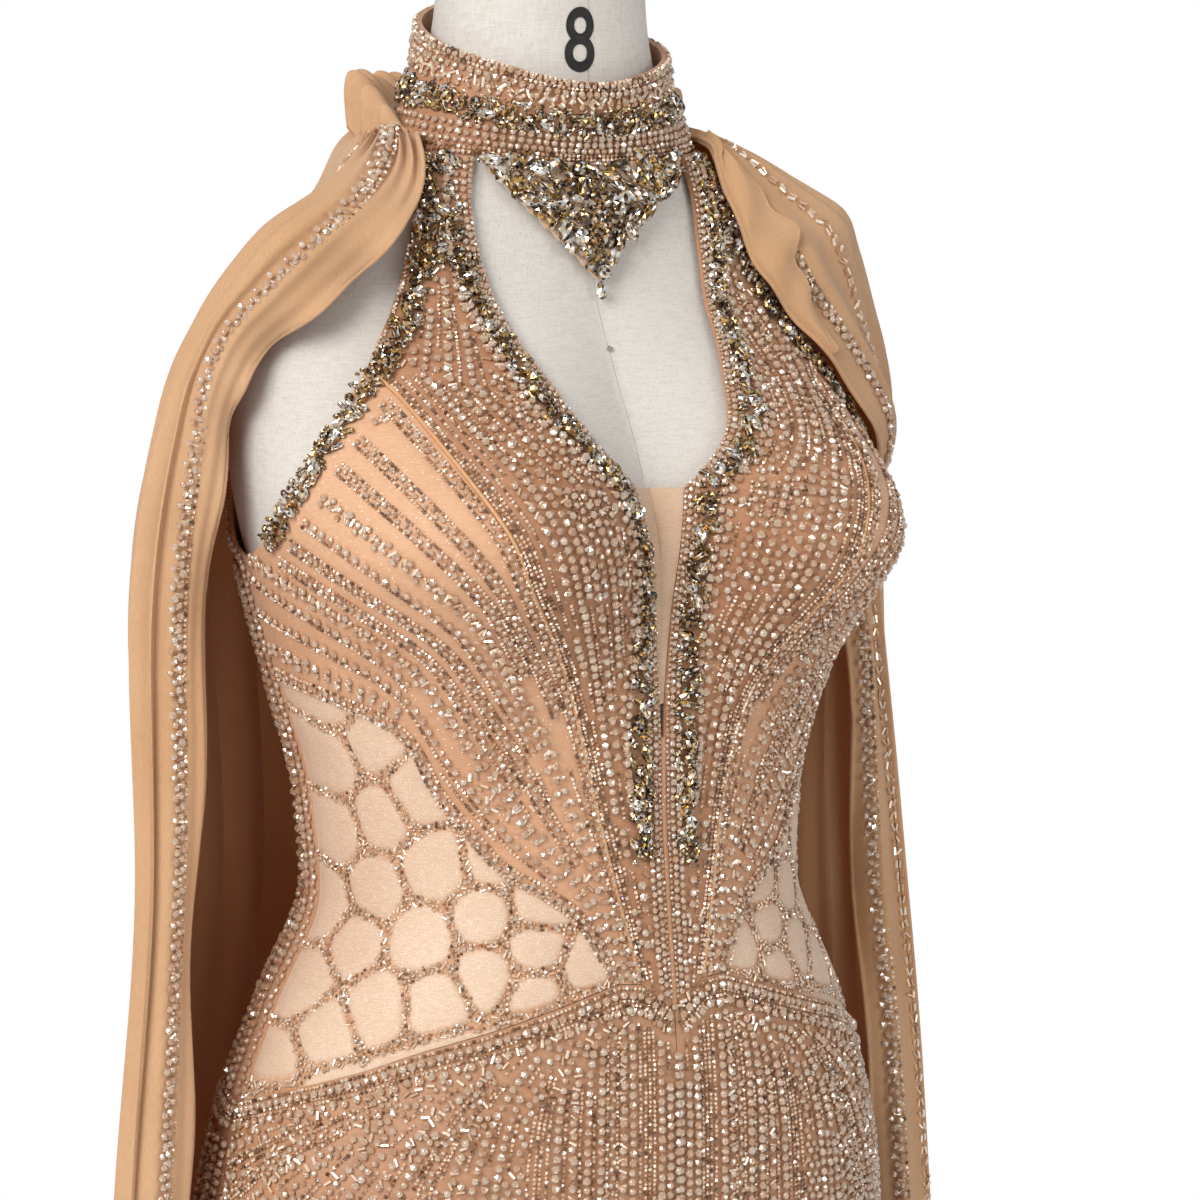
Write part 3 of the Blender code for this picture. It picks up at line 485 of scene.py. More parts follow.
def linen_look():
    look = Look("form_linen", (211, 207, 201), 0.9, Sheen_Weight=0.15, Specular_IOR_Level=0.2)
    warp = look.noise(1.0, 2, look.stretched((1500, 1500, 120)))
    weft = look.noise(1.0, 2, look.stretched((150, 150, 1500)))
    weave = look.math("ADD", warp, weft)
    cloud = look.ramp(look.noise(6, 4), (0.3, (203, 198, 191)), (0.7, (216, 212, 206)))
    threads = look.shade(look.math("MULTIPLY", weave, 0.5), 0.36, (214, 206, 196), 0.56)
    fleck = look.shade(look.noise(520, 1), 0.20, (168, 150, 130), 0.25)
    toned = look.mix("MULTIPLY", 0.5, look.mix("MULTIPLY", 0.4, cloud, threads), fleck)
    look.set(Base_Color=toned, Normal=look.bump(weave, 0.00008))
    return look


def bead_look(name, tints, rings, roughness, metallic, **sockets):
    """Beads. tints gives each bead's colour by its own number; rings gives painted light and shade by how
    squarely
    each point faces the view, middle to rim: the cloth as if seen through the glass, a bright ring, a dark rim."""
    look = Look(name, tints[-1][1], roughness, Metallic=metallic, **sockets)
    facing = look.node("ShaderNodeLayerWeight", None, Blend=0.5).outputs["Facing"]
    streak = look.shade(look.noise(700, 1), 0.35, (232, 224, 216), 0.6)
    tone = look.mix("MULTIPLY", 0.6, look.ramp(look.value_of("tint"), *tints), streak)
    # painted light and shade: each bead's tone times the rings, by how squarely it faces the view
    look.set(Base_Color=look.mix("MULTIPLY", 1.0, tone, look.ramp(facing, *rings)))
    return look


def gem_look():
    """Faceted crystal, a colour to each facet: the stone's own tone on most, painted glints and dark reflections
    on others.
    """
    look = Look("faceted_crystal", (120, 96, 60), 0.05, Metallic=0.7, Coat_Weight=1.0, Coat_Roughness=0.02)
    cloud = look.shade(look.noise(520, 1), 0.3, (208, 204, 200), 0.62)
    look.set(Base_Color=look.mix("MULTIPLY", 0.5, look.value_of("facet", "Color"), cloud))
    return look


def metal_look():
    look = Look("powder_coat", (58, 58, 61), 0.42, Metallic=0.55)
    grain = look.noise(900, 2)
    look.set(
        Base_Color=look.ramp(look.noise(20, 3), (0.3, (50, 50, 53)), (0.7, (66, 66, 70))),
        Roughness=look.spread(grain, 0.3, 0.7, 0.34, 0.52),
        Normal=look.bump(grain, 0.00004),
    )
    return look


def mottled_look(name, colour, roughness, grain, dark, light):
    """A plain colour that varies a little."""
    look = Look(name, colour, roughness)
    look.set(Base_Color=look.ramp(look.noise(grain, 2), (0.3, dark), (0.7, light)))
    return look


def pin_metal():
    look = Look("pin_steel", (176, 174, 170), 0.22, Metallic=1.0)
    look.set(Roughness=look.spread(look.noise(900, 1), 0.3, 0.7, 0.16, 0.3))
    return look


GLASS_TINTS = ((0.0, (238, 204, 176)), (0.45, (252, 232, 212)), (1.0, (255, 251, 244)))
SEED_TINTS = ((0.0, (80, 54, 36)), (0.30, (176, 134, 102)), (0.6, (236, 206, 178)), (1.0, (255, 250, 240)))
BUGLE_TINTS = ((0.0, (176, 136, 102)), (0.4, (234, 204, 174)), (1.0, (255, 250, 240)))
CORD_TINTS = ((0.0, (200, 150, 108)), (1.0, (220, 172, 128)))
# painted light and shade on beads, middle to rim as they face the view: glass's see-through and bright ring,
# dark rims
GLASS_PAINTED_LIGHT = (
    (0.06, (248, 224, 202)), (0.42, (255, 244, 230)), (0.68, (255, 252, 246)), (0.86, (220, 180, 150)),
    (1.0, (146, 104, 78)),
)
METAL_PAINTED_RIM = ((0.25, (255, 252, 246)), (0.70, (236, 208, 182)), (1.0, (130, 92, 64)))
CORD_PAINTED_RIM = ((0.0, WHITE), (1.0, (235, 220, 205)))
GLASS_COAT = {"Transmission_Weight": 0.5, "Coat_Weight": 1.0, "Coat_Roughness": 0.02}

beaded_look = cloth_look("beaded_cloth_base", NUDE, NUDE_SHADE, 0.03)
# the same cloth darker where beads lie close (bodice centre, collar, centre fold): painted shade between the
# beads
bead_shaded_look = cloth_look("bead_shaded_cloth", (190, 143, 109), (170, 122, 89), 0.03)
net_look = cloth_look("nude_net", (222, 196, 172), (212, 181, 156), 0.14, flakes=2300.0)
sheer_look = cloth_look("plunge_net", (214, 184, 158), (203, 172, 145), 0.0)
button_look = cloth_look("covered_button", (219, 172, 134), (206, 156, 118), 0.02)
seeded_look = seeded_cloth()
chiffon = chiffon_look()
linen = linen_look()
glass = bead_look("clear_rondelle", GLASS_TINTS, GLASS_PAINTED_LIGHT, 0.04, 0.0, IOR=2.2, **GLASS_COAT)
seeds = bead_look("silver_seed", SEED_TINTS, METAL_PAINTED_RIM, 0.12, 0.2, IOR=2.4)
bugles = bead_look("silver_bugle", BUGLE_TINTS, METAL_PAINTED_RIM, 0.08, 0.15, IOR=2.5)
thread = bead_look("gold_cord", CORD_TINTS, CORD_PAINTED_RIM, 0.55, 0.0)
gems_look = gem_look()
steel = metal_look()
ink = mottled_look("black_ink", (24, 23, 23), 0.7, 300, (17, 16, 16), (34, 32, 31))
pin_look = pin_metal()

# ---------------------------------------------------------------- mesh makers

CLOTH_SHARP, FORM_SHARP = 50, 40        # edges that turn by more than these degrees are drawn sharp
TUBE_TINT = 0.5


def add_values(mesh, name, values):
    """A number for each point of a mesh, for its material to read."""
    attribute = mesh.attributes.new(name, "FLOAT", "POINT")
    attribute.data.foreach_set("value", np.asarray(values, np.float32))


def face_values(mesh, values):
    """For each face of a mesh, the value of the point at its first corner."""
    first = np.zeros(len(mesh.polygons), np.int32)
    mesh.polygons.foreach_get("loop_start", first)
    corner = np.zeros(len(mesh.loops), np.int32)
    mesh.loops.foreach_get("vertex_index", corner)
    return values[corner[first]]


def add_piece(name, points, groups, look, smooth=True):
    """A piece of the part from its points and groups of faces, each group an (n, corners) array."""
    points = np.ascontiguousarray(np.reshape(points, (-1, 3)), np.float32)
    groups = [np.asarray(group, np.int32) for group in groups if len(group)]
    sizes = np.concatenate([np.full(len(group), group.shape[1], np.int32) for group in groups])
    mesh = bpy.data.meshes.new(name)
    mesh.vertices.add(len(points))
    mesh.vertices.foreach_set("co", points.ravel())
    mesh.loops.add(int(sizes.sum()))
    mesh.loops.foreach_set("vertex_index", np.concatenate([group.ravel() for group in groups]))
    mesh.polygons.add(len(sizes))
    mesh.polygons.foreach_set("loop_start", np.concatenate([[0], np.cumsum(sizes)[:-1]]).astype(np.int32))
    mesh.update(calc_edges=True)
    mesh.validate()
    if smooth:
        mesh.shade_smooth()
    else:
        mesh.shade_flat()
    mesh.materials.append(look.material)
    made = bpy.data.objects.new(name, mesh)
    bpy.context.scene.collection.objects.link(made)
    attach(made, "root")
    return made


def grid_faces(rows, columns, wrapped=False):
    last = columns if wrapped else columns - 1
    i, j = np.meshgrid(np.arange(rows - 1), np.arange(last), indexing="ij")
    k = (j + 1) % columns
    quads = [i * columns + j, i * columns + k, (i + 1) * columns + k, (i + 1) * columns + j]
    return np.stack([q.ravel() for q in quads], -1)


def grid_normals(points):
    """Normals of a grid of points, from its own rows and columns."""
    return unit(np.cross(np.gradient(points, axis=1), np.gradient(points, axis=0)))


def faces_away(points, face, outwards):
    """Whether a face, by its first three corners, is turned away from a direction."""
    a, b, c = (points[corner] for corner in face[:3])
    return np.dot(np.cross(b - a, c - b), outwards) < 0


def end_faces(rings, sides):
    """The two faces that close a body made of rings."""
    return [np.arange(sides)[None, ::-1], np.arange(sides)[None] + (rings - 1) * sides]


def add_shell(name, points, normals, wall, look):
    """Cloth between points and the same points moved out along normals by the wall, closed all round."""
    rows, columns = points.shape[:2]
    outer, inner = (points + normals * wall).reshape(-1, 3), points.reshape(-1, 3)
    faces = grid_faces(rows, columns)
    middle = faces[len(faces) // 2]
    border = np.concatenate([
        np.arange(columns), np.arange(1, rows) * columns + columns - 1,
        (rows - 1) * columns + np.arange(columns - 2, -1, -1), np.arange(rows - 2, 0, -1) * columns,
    ])
    after = np.roll(border, -1)
    count = rows * columns
    rim = np.stack([after, border, border + count, after + count], -1)
    if faces_away(outer, middle, normals.reshape(-1, 3)[middle[0]]):
        faces, rim = faces[:, ::-1], rim[:, ::-1]
    groups = [faces, faces[:, ::-1] + count, rim]
    made = add_piece(name, np.concatenate([outer, inner]), groups, look)
    made.data.set_sharp_from_angle(angle=math.radians(CLOTH_SHARP))
    return made


# each edge of a grid of points, with the line of points next to it
GRID_EDGES = (
    (np.s_[:, 0], np.s_[:, 1]), (np.s_[:, -1], np.s_[:, -2]), (np.s_[0], np.s_[1]), (np.s_[-1], np.s_[-2]),
)


def pull_in(points, gap):
    """Moves the grid's outer points in from its edges a little, to leave the seam's gap."""
    moved = points.copy()
    for edge, inner in GRID_EDGES:
        along = unit(np.gradient(points[edge], axis=0))
        inward = points[inner] - points[edge]
        inward = inward - np.sum(inward * along, -1, keepdims=True) * along
        length = np.linalg.norm(inward, axis=-1, keepdims=True)
        moved[edge] += np.where(length > 1e-6, inward / np.maximum(length, 1e-9) * gap, 0)
    return moved


def add_tube(name, path, radius, look, sides=6):
    """A thin round tube along a path of points, closed at its ends."""
    along = unit(np.gradient(path, axis=0))
    steep = abs(along[0][2]) >= 0.9
    side = unit(np.cross(along, (1.0, 0.0, 0.0) if steep else (0.0, 0.0, 1.0)))
    up = np.cross(side, along)
    turn = np.linspace(0, 2 * np.pi, sides, endpoint=False)
    ring = np.cos(turn)[None, :, None] * side[:, None] + np.sin(turn)[None, :, None] * up[:, None]
    groups = [grid_faces(len(path), sides, wrapped=True), *end_faces(len(path), sides)]
    made = add_piece(name, path[:, None] + radius * ring, groups, look)
    add_values(made.data, "tint", np.full(len(made.data.vertices), TUBE_TINT))
    return made


def add_body(name, rings, look):
    """A closed body through rings of points, flat at both ends."""
    rows, columns = rings.shape[:2]
    faces = grid_faces(rows, columns, wrapped=True)
    points = rings.reshape(-1, 3)
    groups = [faces, *end_faces(rows, columns)]
    if faces_away(points, faces[0], points[faces[0, 0]] - rings[0].mean(0)):
        groups = [group[:, ::-1] for group in groups]
    made = add_piece(name, rings, groups, look)
    made.data.set_sharp_from_angle(angle=math.radians(FORM_SHARP))
    return made


# ---------------------------------------------------------------- bead templates


def faces_by_size(faces):
    return [np.array([f for f in faces if len(f) == size]) for size in sorted({len(f) for f in faces})]


def ball():
    """A faceted bead: an icosahedron of unit radius."""
    golden = (1 + 5**0.5) / 2
    points = np.array([(0, s, t * golden) for s in (-1, 1) for t in (-1, 1)])
    points = unit(np.concatenate([points, points[:, [1, 2, 0]], points[:, [2, 0, 1]]]))
    faces = []
    for i, j, k in combinations(range(len(points)), 3):
        a, b, c = points[i], points[j], points[k]
        if max(np.linalg.norm(a - b), np.linalg.norm(b - c), np.linalg.norm(c - a)) < 1.2:
            outwards = np.dot(np.cross(b - a, c - a), a) > 0
            faces.append((i, j, k) if outwards else (i, k, j))
    return points, [np.array(faces)]


def octahedron():
    points = np.array([(1, 0, 0), (0, 1, 0), (-1, 0, 0), (0, -1, 0), (0, 0, 1), (0, 0, -1)], float)
    faces = [(k, (k + 1) % 4, 4) for k in range(4)] + [((k + 1) % 4, k, 5) for k in range(4)]
    return points, [np.array(faces)]


def prism(sides):
    """A tube bead of unit radius that lies along x, from -1 to 1."""
    turn = np.linspace(0, 2 * np.pi, sides, endpoint=False)
    ring = np.stack([np.zeros(sides), np.cos(turn), np.sin(turn)], -1)
    points = np.concatenate([ring - (1, 0, 0), ring + (1, 0, 0)])
    quads = [(k, (k + 1) % sides, (k + 1) % sides + sides, k + sides) for k in range(sides)]
    ends = [tuple(range(sides))[::-1], tuple(range(sides, 2 * sides))]
    return points, faces_by_size([q[::-1] for q in quads] + [e[::-1] for e in ends])


# rings of a cut stone's corners from its foot up: size, height, whether it is turned by half a step
STONE_RINGS = ((0.72, 0.0, False), (1.0, 0.36, False), (0.80, 0.66, True), (0.52, 0.92, False))
STAR_MIDDLE = (0, 0, 0.78)


def cut_stone(sides, outline):
    """A faceted stone whose table shows a star. outline(turn) gives its girdle as (x, y)."""
    turn = np.linspace(0, 2 * np.pi, sides, endpoint=False)
    girdles = [np.array([outline(t) for t in turn + shift]) for shift in (0, math.pi / sides)]
    rings = [np.column_stack([girdles[turned] * size, np.full(sides, z)]) for size, z, turned in STONE_RINGS]
    faces = []
    for here in range(sides):
        after = (here + 1) % sides
        (foot, girdle, crown, star), (foot_b, girdle_b, crown_b, star_b) = (
            [k + ring * sides for ring in range(len(STONE_RINGS))] for k in (here, after))
        faces += [
            (foot, foot_b, girdle_b, girdle),
            (girdle, girdle_b, crown), (girdle_b, crown_b, crown),
            (crown, crown_b, star_b), (crown, star_b, star),
            (star, star_b, len(STONE_RINGS) * sides),
        ]
    faces.append(tuple(range(sides))[::-1])
    return np.concatenate([*rings, [STAR_MIDDLE]]), faces_by_size(faces)


def round_outline(t):
    return math.cos(t), math.sin(t)


def navette_outline(t):
    return 1.0 * math.cos(t), 0.5 * math.sin(t) * (0.55 + 0.45 * abs(math.sin(t)))


def pear_outline(t):
    return math.cos(t), 0.62 * math.sin(t) * (1 - 0.38 * math.cos(t))


def baguette_outline(t):
    x, y = math.cos(t), math.sin(t)
    return math.copysign(abs(x) ** 0.35, x), 0.42 * math.copysign(abs(y) ** 0.35, y)


TEMPLATES = {
    "ball": ball(), "chip": octahedron(), "bugle": prism(5),
    "round": cut_stone(8, round_outline), "navette": cut_stone(10, navette_outline),
    "pear": cut_stone(10, pear_outline), "baguette": cut_stone(8, baguette_outline),
}
Heap = namedtuple("Heap", "template spots frames scales tints")
heaps = {}


def pile(piece, template, spots, along, normals, scales, tints=None):
    """Adds copies of a template to a piece. along and normals turn each copy's x and z."""
    count = len(spots)
    if not count:
        return
    z = unit(normals)
    x = unit(along - np.sum(along * z, -1, keepdims=True) * z)
    frames = np.stack([x, np.cross(z, x), z], 1)
    scales = np.broadcast_to(np.asarray(scales, float), (count, 3))
    tints = rng.random(count) if tints is None else tints
    heaps.setdefault(piece, []).append(Heap(template, spots, frames, scales, tints))


def stamped(entries):
    """Points, groups of faces, and tints of the copies in these heaps."""
    points, groups, tints, start = [], {}, [], 0
    for heap in entries:
        shape, faces = TEMPLATES[heap.template]
        placed = np.einsum("nvk,nkj->nvj", shape[None] * heap.scales[:, None], heap.frames)
        starts = start + np.arange(len(heap.spots)) * len(shape)
        for group in faces:
            corners = group.shape[1]
            copies = (group[None] + starts[:, None, None]).reshape(-1, corners)
            groups.setdefault(corners, []).append(copies)
        points.append((heap.spots[:, None] + placed).reshape(-1, 3))
        tints.append(np.repeat(heap.tints, len(shape)))
        start += len(points[-1])
    groups = [np.concatenate(groups[corners]) for corners in sorted(groups)]
    return np.concatenate(points), groups, np.concatenate(tints)


FACETED = 0.70           # the share of the glass beads whose facets show


def flush(piece, look, smooth=False):
    """Makes a piece of all that was piled on it, with each copy's tint."""
    points, groups, tints = stamped(heaps.pop(piece))
    made = add_piece(piece, points, groups, look, smooth)
    add_values(made.data, "tint", tints)
    if smooth:
        draw = (face_values(made.data, tints) * 10) % 1
        made.data.polygons.foreach_set("use_smooth", draw > FACETED)
    return made


# the stones' own colours; near-white is a painted glint, the darkest partly smoky stone and partly painted dark
# reflection
GEM_COLOURS_AND_GLINTS = np.array([srgb(*colour) for colour in (
    (34, 24, 15), (88, 64, 38), (170, 126, 62), (236, 190, 108), (150, 122, 90), (232, 216, 194),
    (255, 254, 250),
)])
# for each kind of stone, how often its facets take each of those colours
GEM_MIXES = np.array([
    (0.30, 0.22, 0.14, 0.06, 0.12, 0.08, 0.08),      # smoky
    (0.16, 0.18, 0.24, 0.20, 0.06, 0.06, 0.10),      # golden
    (0.08, 0.08, 0.06, 0.05, 0.17, 0.26, 0.30),      # clear
])
GEM_TINTS = (0.1, 0.5, 0.9)         # the tint that stands for each kind of stone
GEM_SHARES = (0.36, 0.34, 0.30)


def flush_gems(piece):
    """Stones, with a colour for each facet drawn from the stone's own mix, painted glints and dark reflections
    among them.
    """
    points, groups, tints = stamped(heaps.pop(piece))
    made = add_piece(piece, points, groups, gems_look, False)
    kind = (face_values(made.data, tints) * len(GEM_MIXES)).astype(int)
    draw = rng.random(len(kind))
    colour = (draw[:, None] > np.cumsum(GEM_MIXES[kind], axis=1)).sum(1).clip(0, len(GEM_COLOURS_AND_GLINTS) - 1)
    facet_tones_and_glints = GEM_COLOURS_AND_GLINTS[colour] * rng.uniform(0.7, 1.2, (len(kind), 1))
    values = np.concatenate([facet_tones_and_glints, np.ones((len(kind), 1))], 1).clip(0, 1)
    attribute = made.data.attributes.new("facet", "FLOAT_COLOR", "FACE")
    attribute.data.foreach_set("color", values.astype(np.float32).ravel())
    return made


# ---------------------------------------------------------------- lines of beads on the cloth

Path = namedtuple("Path", "points normals run")
SAMPLE_STEP = 0.002         # how finely a line is looked at where lines are kept apart


def path_of(points, normals):
    return Path(points, normals, lengths_along(points))


def gown_path(spots, side, lift=CLOTH_LIFT + CLOTH_WALL):
    return path_of(*on_gown(spots, lift, side))


def at_run(path, wanted):
    """Points, normals and directions of a path at these lengths along it."""
    slopes = unit(np.gradient(path.points, path.run + np.arange(len(path.run)) * 1e-12, axis=0))
    points = columns_at(wanted, path.run, path.points)
    return points, unit(columns_at(wanted, path.run, path.normals)), unit(columns_at(wanted, path.run, slopes))


def sampled(path, start=0.0, end=None):
    """Points of a path, evenly spaced between two lengths along it."""
    return at_run(path, np.arange(start, path.run[-1] if end is None else end, SAMPLE_STEP))[0]


def spots_along(path, start, end, pitch, jitter=0.04):
    """Points where beads are sewn along a path, with the normals, the directions and those across."""
    count = max(int((end - start) / pitch), 1)
    even = start + (np.arange(count) + 0.5) * (end - start) / count
    points, normals, along = at_run(path, even + rng.normal(0, jitter * pitch, count))
    return points, normals, along, np.cross(normals, along)


def to_and_fro(count):
    return np.where(np.arange(count) % 2, 1, -1)


def spun(along, across):
    """Directions turned at random in the plane of the cloth."""
    turn = rng.uniform(0, 2 * np.pi, len(along))[:, None]
    return np.cos(turn) * along + np.sin(turn) * across


RONDELLE, SEED, BUGLE_HALF, BUGLE_RADIUS = 0.0022, 0.00100, 0.0020, 0.00085
RONDELLE_SHAPE, SEED_SHAPE = (1, 1, 0.86), (1.15, 1.15, 1.1)
RONDELLE_SEAT, SEED_SEAT = 0.72, 0.80       # how high a bead's middle lies, in its own radii
RONDELLE_LEAN, SEED_LEAN, BUGLE_LEAN = 0.15, 0.30, 0.35


def rondelles(piece, path, start, end, pitch=0.0046, radius=RONDELLE, aside=0.0, sway=0.0, template="ball"):
    points, normals, along, across = spots_along(path, start, end, pitch)
    count = len(points)
    offset = aside + sway * to_and_fro(count) + rng.normal(0, 0.00015, count)
    size = radius * rng.uniform(0.88, 1.1, count)[:, None]
    spots = points + across * offset[:, None] + normals * (size * RONDELLE_SEAT)
    heading = spun(along, across)
    lean = normals + rng.normal(0, RONDELLE_LEAN, spots.shape)
    pile(piece, template, spots, heading, lean, size * RONDELLE_SHAPE)


def seed_row(piece, path, start, end, aside=0.0, pitch=0.0022, radius=SEED):
    points, normals, along, across = spots_along(path, start, end, pitch)
    size = radius * rng.uniform(0.9, 1.1, len(points))[:, None]
    spots = points + across * aside + normals * (size * SEED_SEAT)
    heading = spun(along, across)
    lean = normals + rng.normal(0, SEED_LEAN, spots.shape)
    pile(piece, "chip", spots, heading, lean, size * SEED_SHAPE)


def bugle_row(piece, path, start, end, turn=42.0, pitch=0.0054, aside=0.0, length=BUGLE_HALF):
    points, normals, along, across = spots_along(path, start, end, pitch)
    count = len(points)
    angle = np.radians(turn * to_and_fro(count) + rng.normal(0, 14, count))[:, None]
    heading = np.cos(angle) * along + np.sin(angle) * across + normals * rng.normal(0, 0.10, (count, 1))
    spots = points + across * aside + normals * BUGLE_RADIUS
    lean = normals + rng.normal(0, BUGLE_LEAN, spots.shape)
    pile(piece, "bugle", spots, heading, lean, (length, BUGLE_RADIUS, BUGLE_RADIUS))


Row = namedtuple("Row", "sew later sizes")
BEADS_OF = {rondelles: "rondelles", seed_row: "seeds", bugle_row: "bugles"}


def row(sew, later=0.0, **sizes):
    """A row of one kind of bead, which may start a little later than its line."""
    return Row(sew, later, sizes)


STITCHES = {
    "rondelle": [row(rondelles)],
    "seed": [row(seed_row)],
    "bugle": [row(bugle_row)],
    "pearls": [row(rondelles, pitch=0.0026, radius=0.0011)],
    "small": [row(rondelles, pitch=0.0037, radius=0.0017)],
    "stagger": [row(rondelles, pitch=0.0037, radius=0.0018, sway=0.0010)],
    "double": [row(seed_row, aside=-0.0012), row(seed_row, aside=0.0012)],
    "spaced": [
        row(seed_row, aside=-0.0018),
        row(rondelles, pitch=0.0058, aside=0.0014, radius=0.0019),
    ],
    "mixed": [
        row(rondelles, pitch=0.0062, sway=0.0004),
        row(bugle_row, later=0.0031, turn=62, pitch=0.0062, length=0.0020),
    ],
    "band": [
        row(seed_row, aside=-0.0027),
        row(seed_row, aside=0.0027),
        row(rondelles, pitch=0.0037, radius=0.0015, sway=0.0006),
    ],
    "cluster": [
        row(rondelles, pitch=0.0064, aside=-0.0019, radius=0.0019, sway=0.0008),
        row(rondelles, pitch=0.0064, aside=0.0019, radius=0.0019, sway=0.0008),
        row(bugle_row, later=0.0030, turn=74, pitch=0.0064, length=0.0019),
        row(bugle_row, later=0.0042, turn=80, pitch=0.0064, length=0.0016, aside=0.0012),
    ],
}


def work_line(stitch, region, path, start, end):
    """One sewn line in one of the gown's stitches."""
    for sew, later, sizes in STITCHES[stitch]:
        sew(f"{region}_{BEADS_OF[sew]}", path, start + later, end, **sizes)


def tree_of(spots):
    tree = KDTree(len(spots))
    for index, spot in enumerate(spots):
        tree.insert(spot, index)
    tree.balance()
    return tree


def gaps_to(tree, points):
    """How far each point is from the nearest one in the tree."""
    return np.array([tree.find(point)[2] for point in points])


def keep_apart(levels, pitch_at, shortest, taken):
    """Of the lines, level by level, keeps the stretches that are clear of the lines kept before.
    pitch_at(points) is the room that a line needs at each point, and a level may need a share of it."""
    kept, taken = [], list(taken)
    for share, level in levels:
        tree = tree_of(np.concatenate(taken)) if taken else None
        for stitch, path in level:
            wanted = np.arange(0, path.run[-1], SAMPLE_STEP)
            if len(wanted) < 4:
                continue
            points = at_run(path, wanted)[0]
            room = gaps_to(tree, points) if tree else np.ones(len(points))
            free = np.concatenate([[False], room >= share * pitch_at(points), [False]])
            starts, ends = np.flatnonzero(free[1:] & ~free[:-1]), np.flatnonzero(~free[1:] & free[:-1])
            for a, b in zip(starts, ends):
                if wanted[b - 1] - wanted[a] >= shortest:
                    kept.append((stitch, path, wanted[a], wanted[b - 1]))
                    taken.append(points[a:b])
    return kept


def halving(first, deepest, ends=(0.0, 1.0)):
    """Shares level by level, each level halving the gaps of the one before. ends are the outermost."""
    levels = [[*ends[:1], *(k / first for k in range(1, first)), *ends[1:]]]
    for level in range(deepest):
        count = first * 2**level
        levels.append([(k + 0.5) / count for k in range(count)])
    return levels


def halving_between(shares):
    """Shares just between those of the deepest level."""
    step = 0.25 * (shares[1] - shares[0])
    return [u + step for u in shares] + [u - step for u in shares]


# ---------------------------------------------------------------- bodice cloth


def panel(name, node, inner, outer, columns, side, look, wall=CLOTH_WALL, crowding=1.0):
    """Cloth whose rows run from one seam line to another, closer together where crowding says."""
    share = (np.arange(columns * FINER + 1) / (columns * FINER)) ** crowding
    spots = between(inner[:, None], outer[:, None], share[None, :, None])
    points, normals = on_gown(spots, CLOTH_LIFT, side)
    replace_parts(add_shell(name, pull_in(points, SEAM_GAP / 2), normals, wall, look), node)


# middles of the cells of net between the lines of beads, as (angle, height)
CELLS = np.array([
    (78.6, 1.2002), (71.2, 1.1778), (83.0, 1.1648), (72.2, 1.141), (63.1, 1.1543), (84.8, 1.1322),
    (74.6, 1.1056), (59.5, 1.1177), (77.8, 1.0761), (61.9, 1.0811), (48.0, 1.0937), (46.0, 1.122),
    (68.3, 1.0505), (56.8, 1.0533), (46.8, 1.0663), (36.7, 1.079), (86.6, 1.0564), (78.2, 1.0353),
    (36.2, 1.0558), (23.5, 1.0677), (86.5, 1.0145), (35.7, 1.0995), (89.3, 1.0927),
])
cell_middles = on_gown(CELLS, CLOTH_LIFT + NET_WALL)[0]
COMB_HALF_WIDTH, CORNER_ROUNDING = 0.0019, 0.0022
CELL_RISE, SWELL_FROM, SWELL_OVER, SWELL_ROUNDNESS = 0.0011, 0.5, 2.5, 0.6
INSET_FINER, INSET_BORDER, INSET_TIP = 4, 6, 0.85
# a strip of plain net above the waist seam, as (angle, width), and the reach in which cells end at it
WAIST_STRIP, STRIP_REACH, STRIP_FROM, STRIP_SAMPLES = (
    ((16, 0.0035), (40, 0.0055), (70, 0.0085), (95, 0.0085)), 0.050, 14, 300)


def beyond_strip(middles):
    """The middles of the cells near the waist, mirrored in the line that closes them above the strip."""
    angles = np.linspace(STRIP_FROM, SIDE_SEAM, STRIP_SAMPLES)
    heights = np.interp(angles, *waist_side.T) + np.interp(angles, *zip(*WAIST_STRIP))
    closing = surface(gown_section, angles, heights)
    gaps = np.linalg.norm(middles[:, None] - closing[None], axis=2)
    nearest = closing[np.argmin(gaps, axis=1)]
    return (2 * nearest - middles)[gaps.min(axis=1) < STRIP_REACH]


all_middles = np.concatenate([cell_middles, beyond_strip(cell_middles)])
is_cell = np.arange(len(all_middles)) < len(cell_middles)


def off_line(points):
    """How far points on the wearer's left are from the lines between cells, less in a cell's corners."""
    gaps = np.linalg.norm(points[..., None, :] - all_middles, axis=-1)
    nearest = np.argmin(gaps, axis=-1)
    near = np.take_along_axis(gaps, nearest[..., None], -1)
    apart = np.linalg.norm(all_middles[nearest][..., None, :] - all_middles, axis=-1)
    away = (gaps**2 - near**2) / (2 * np.maximum(apart, 1e-9))
    no_line = (apart < 1e-9) | (~is_cell[nearest][..., None] & ~is_cell)
    away = np.where(no_line, 1.0, away)
    return -CORNER_ROUNDING * np.log(np.exp(-away / CORNER_ROUNDING).sum(-1))


def finer_line(line, finer):
    """The line with this many spans for each one."""
    return at_row(line, np.linspace(0, len(line) - 1, (len(line) - 1) * finer + 1))


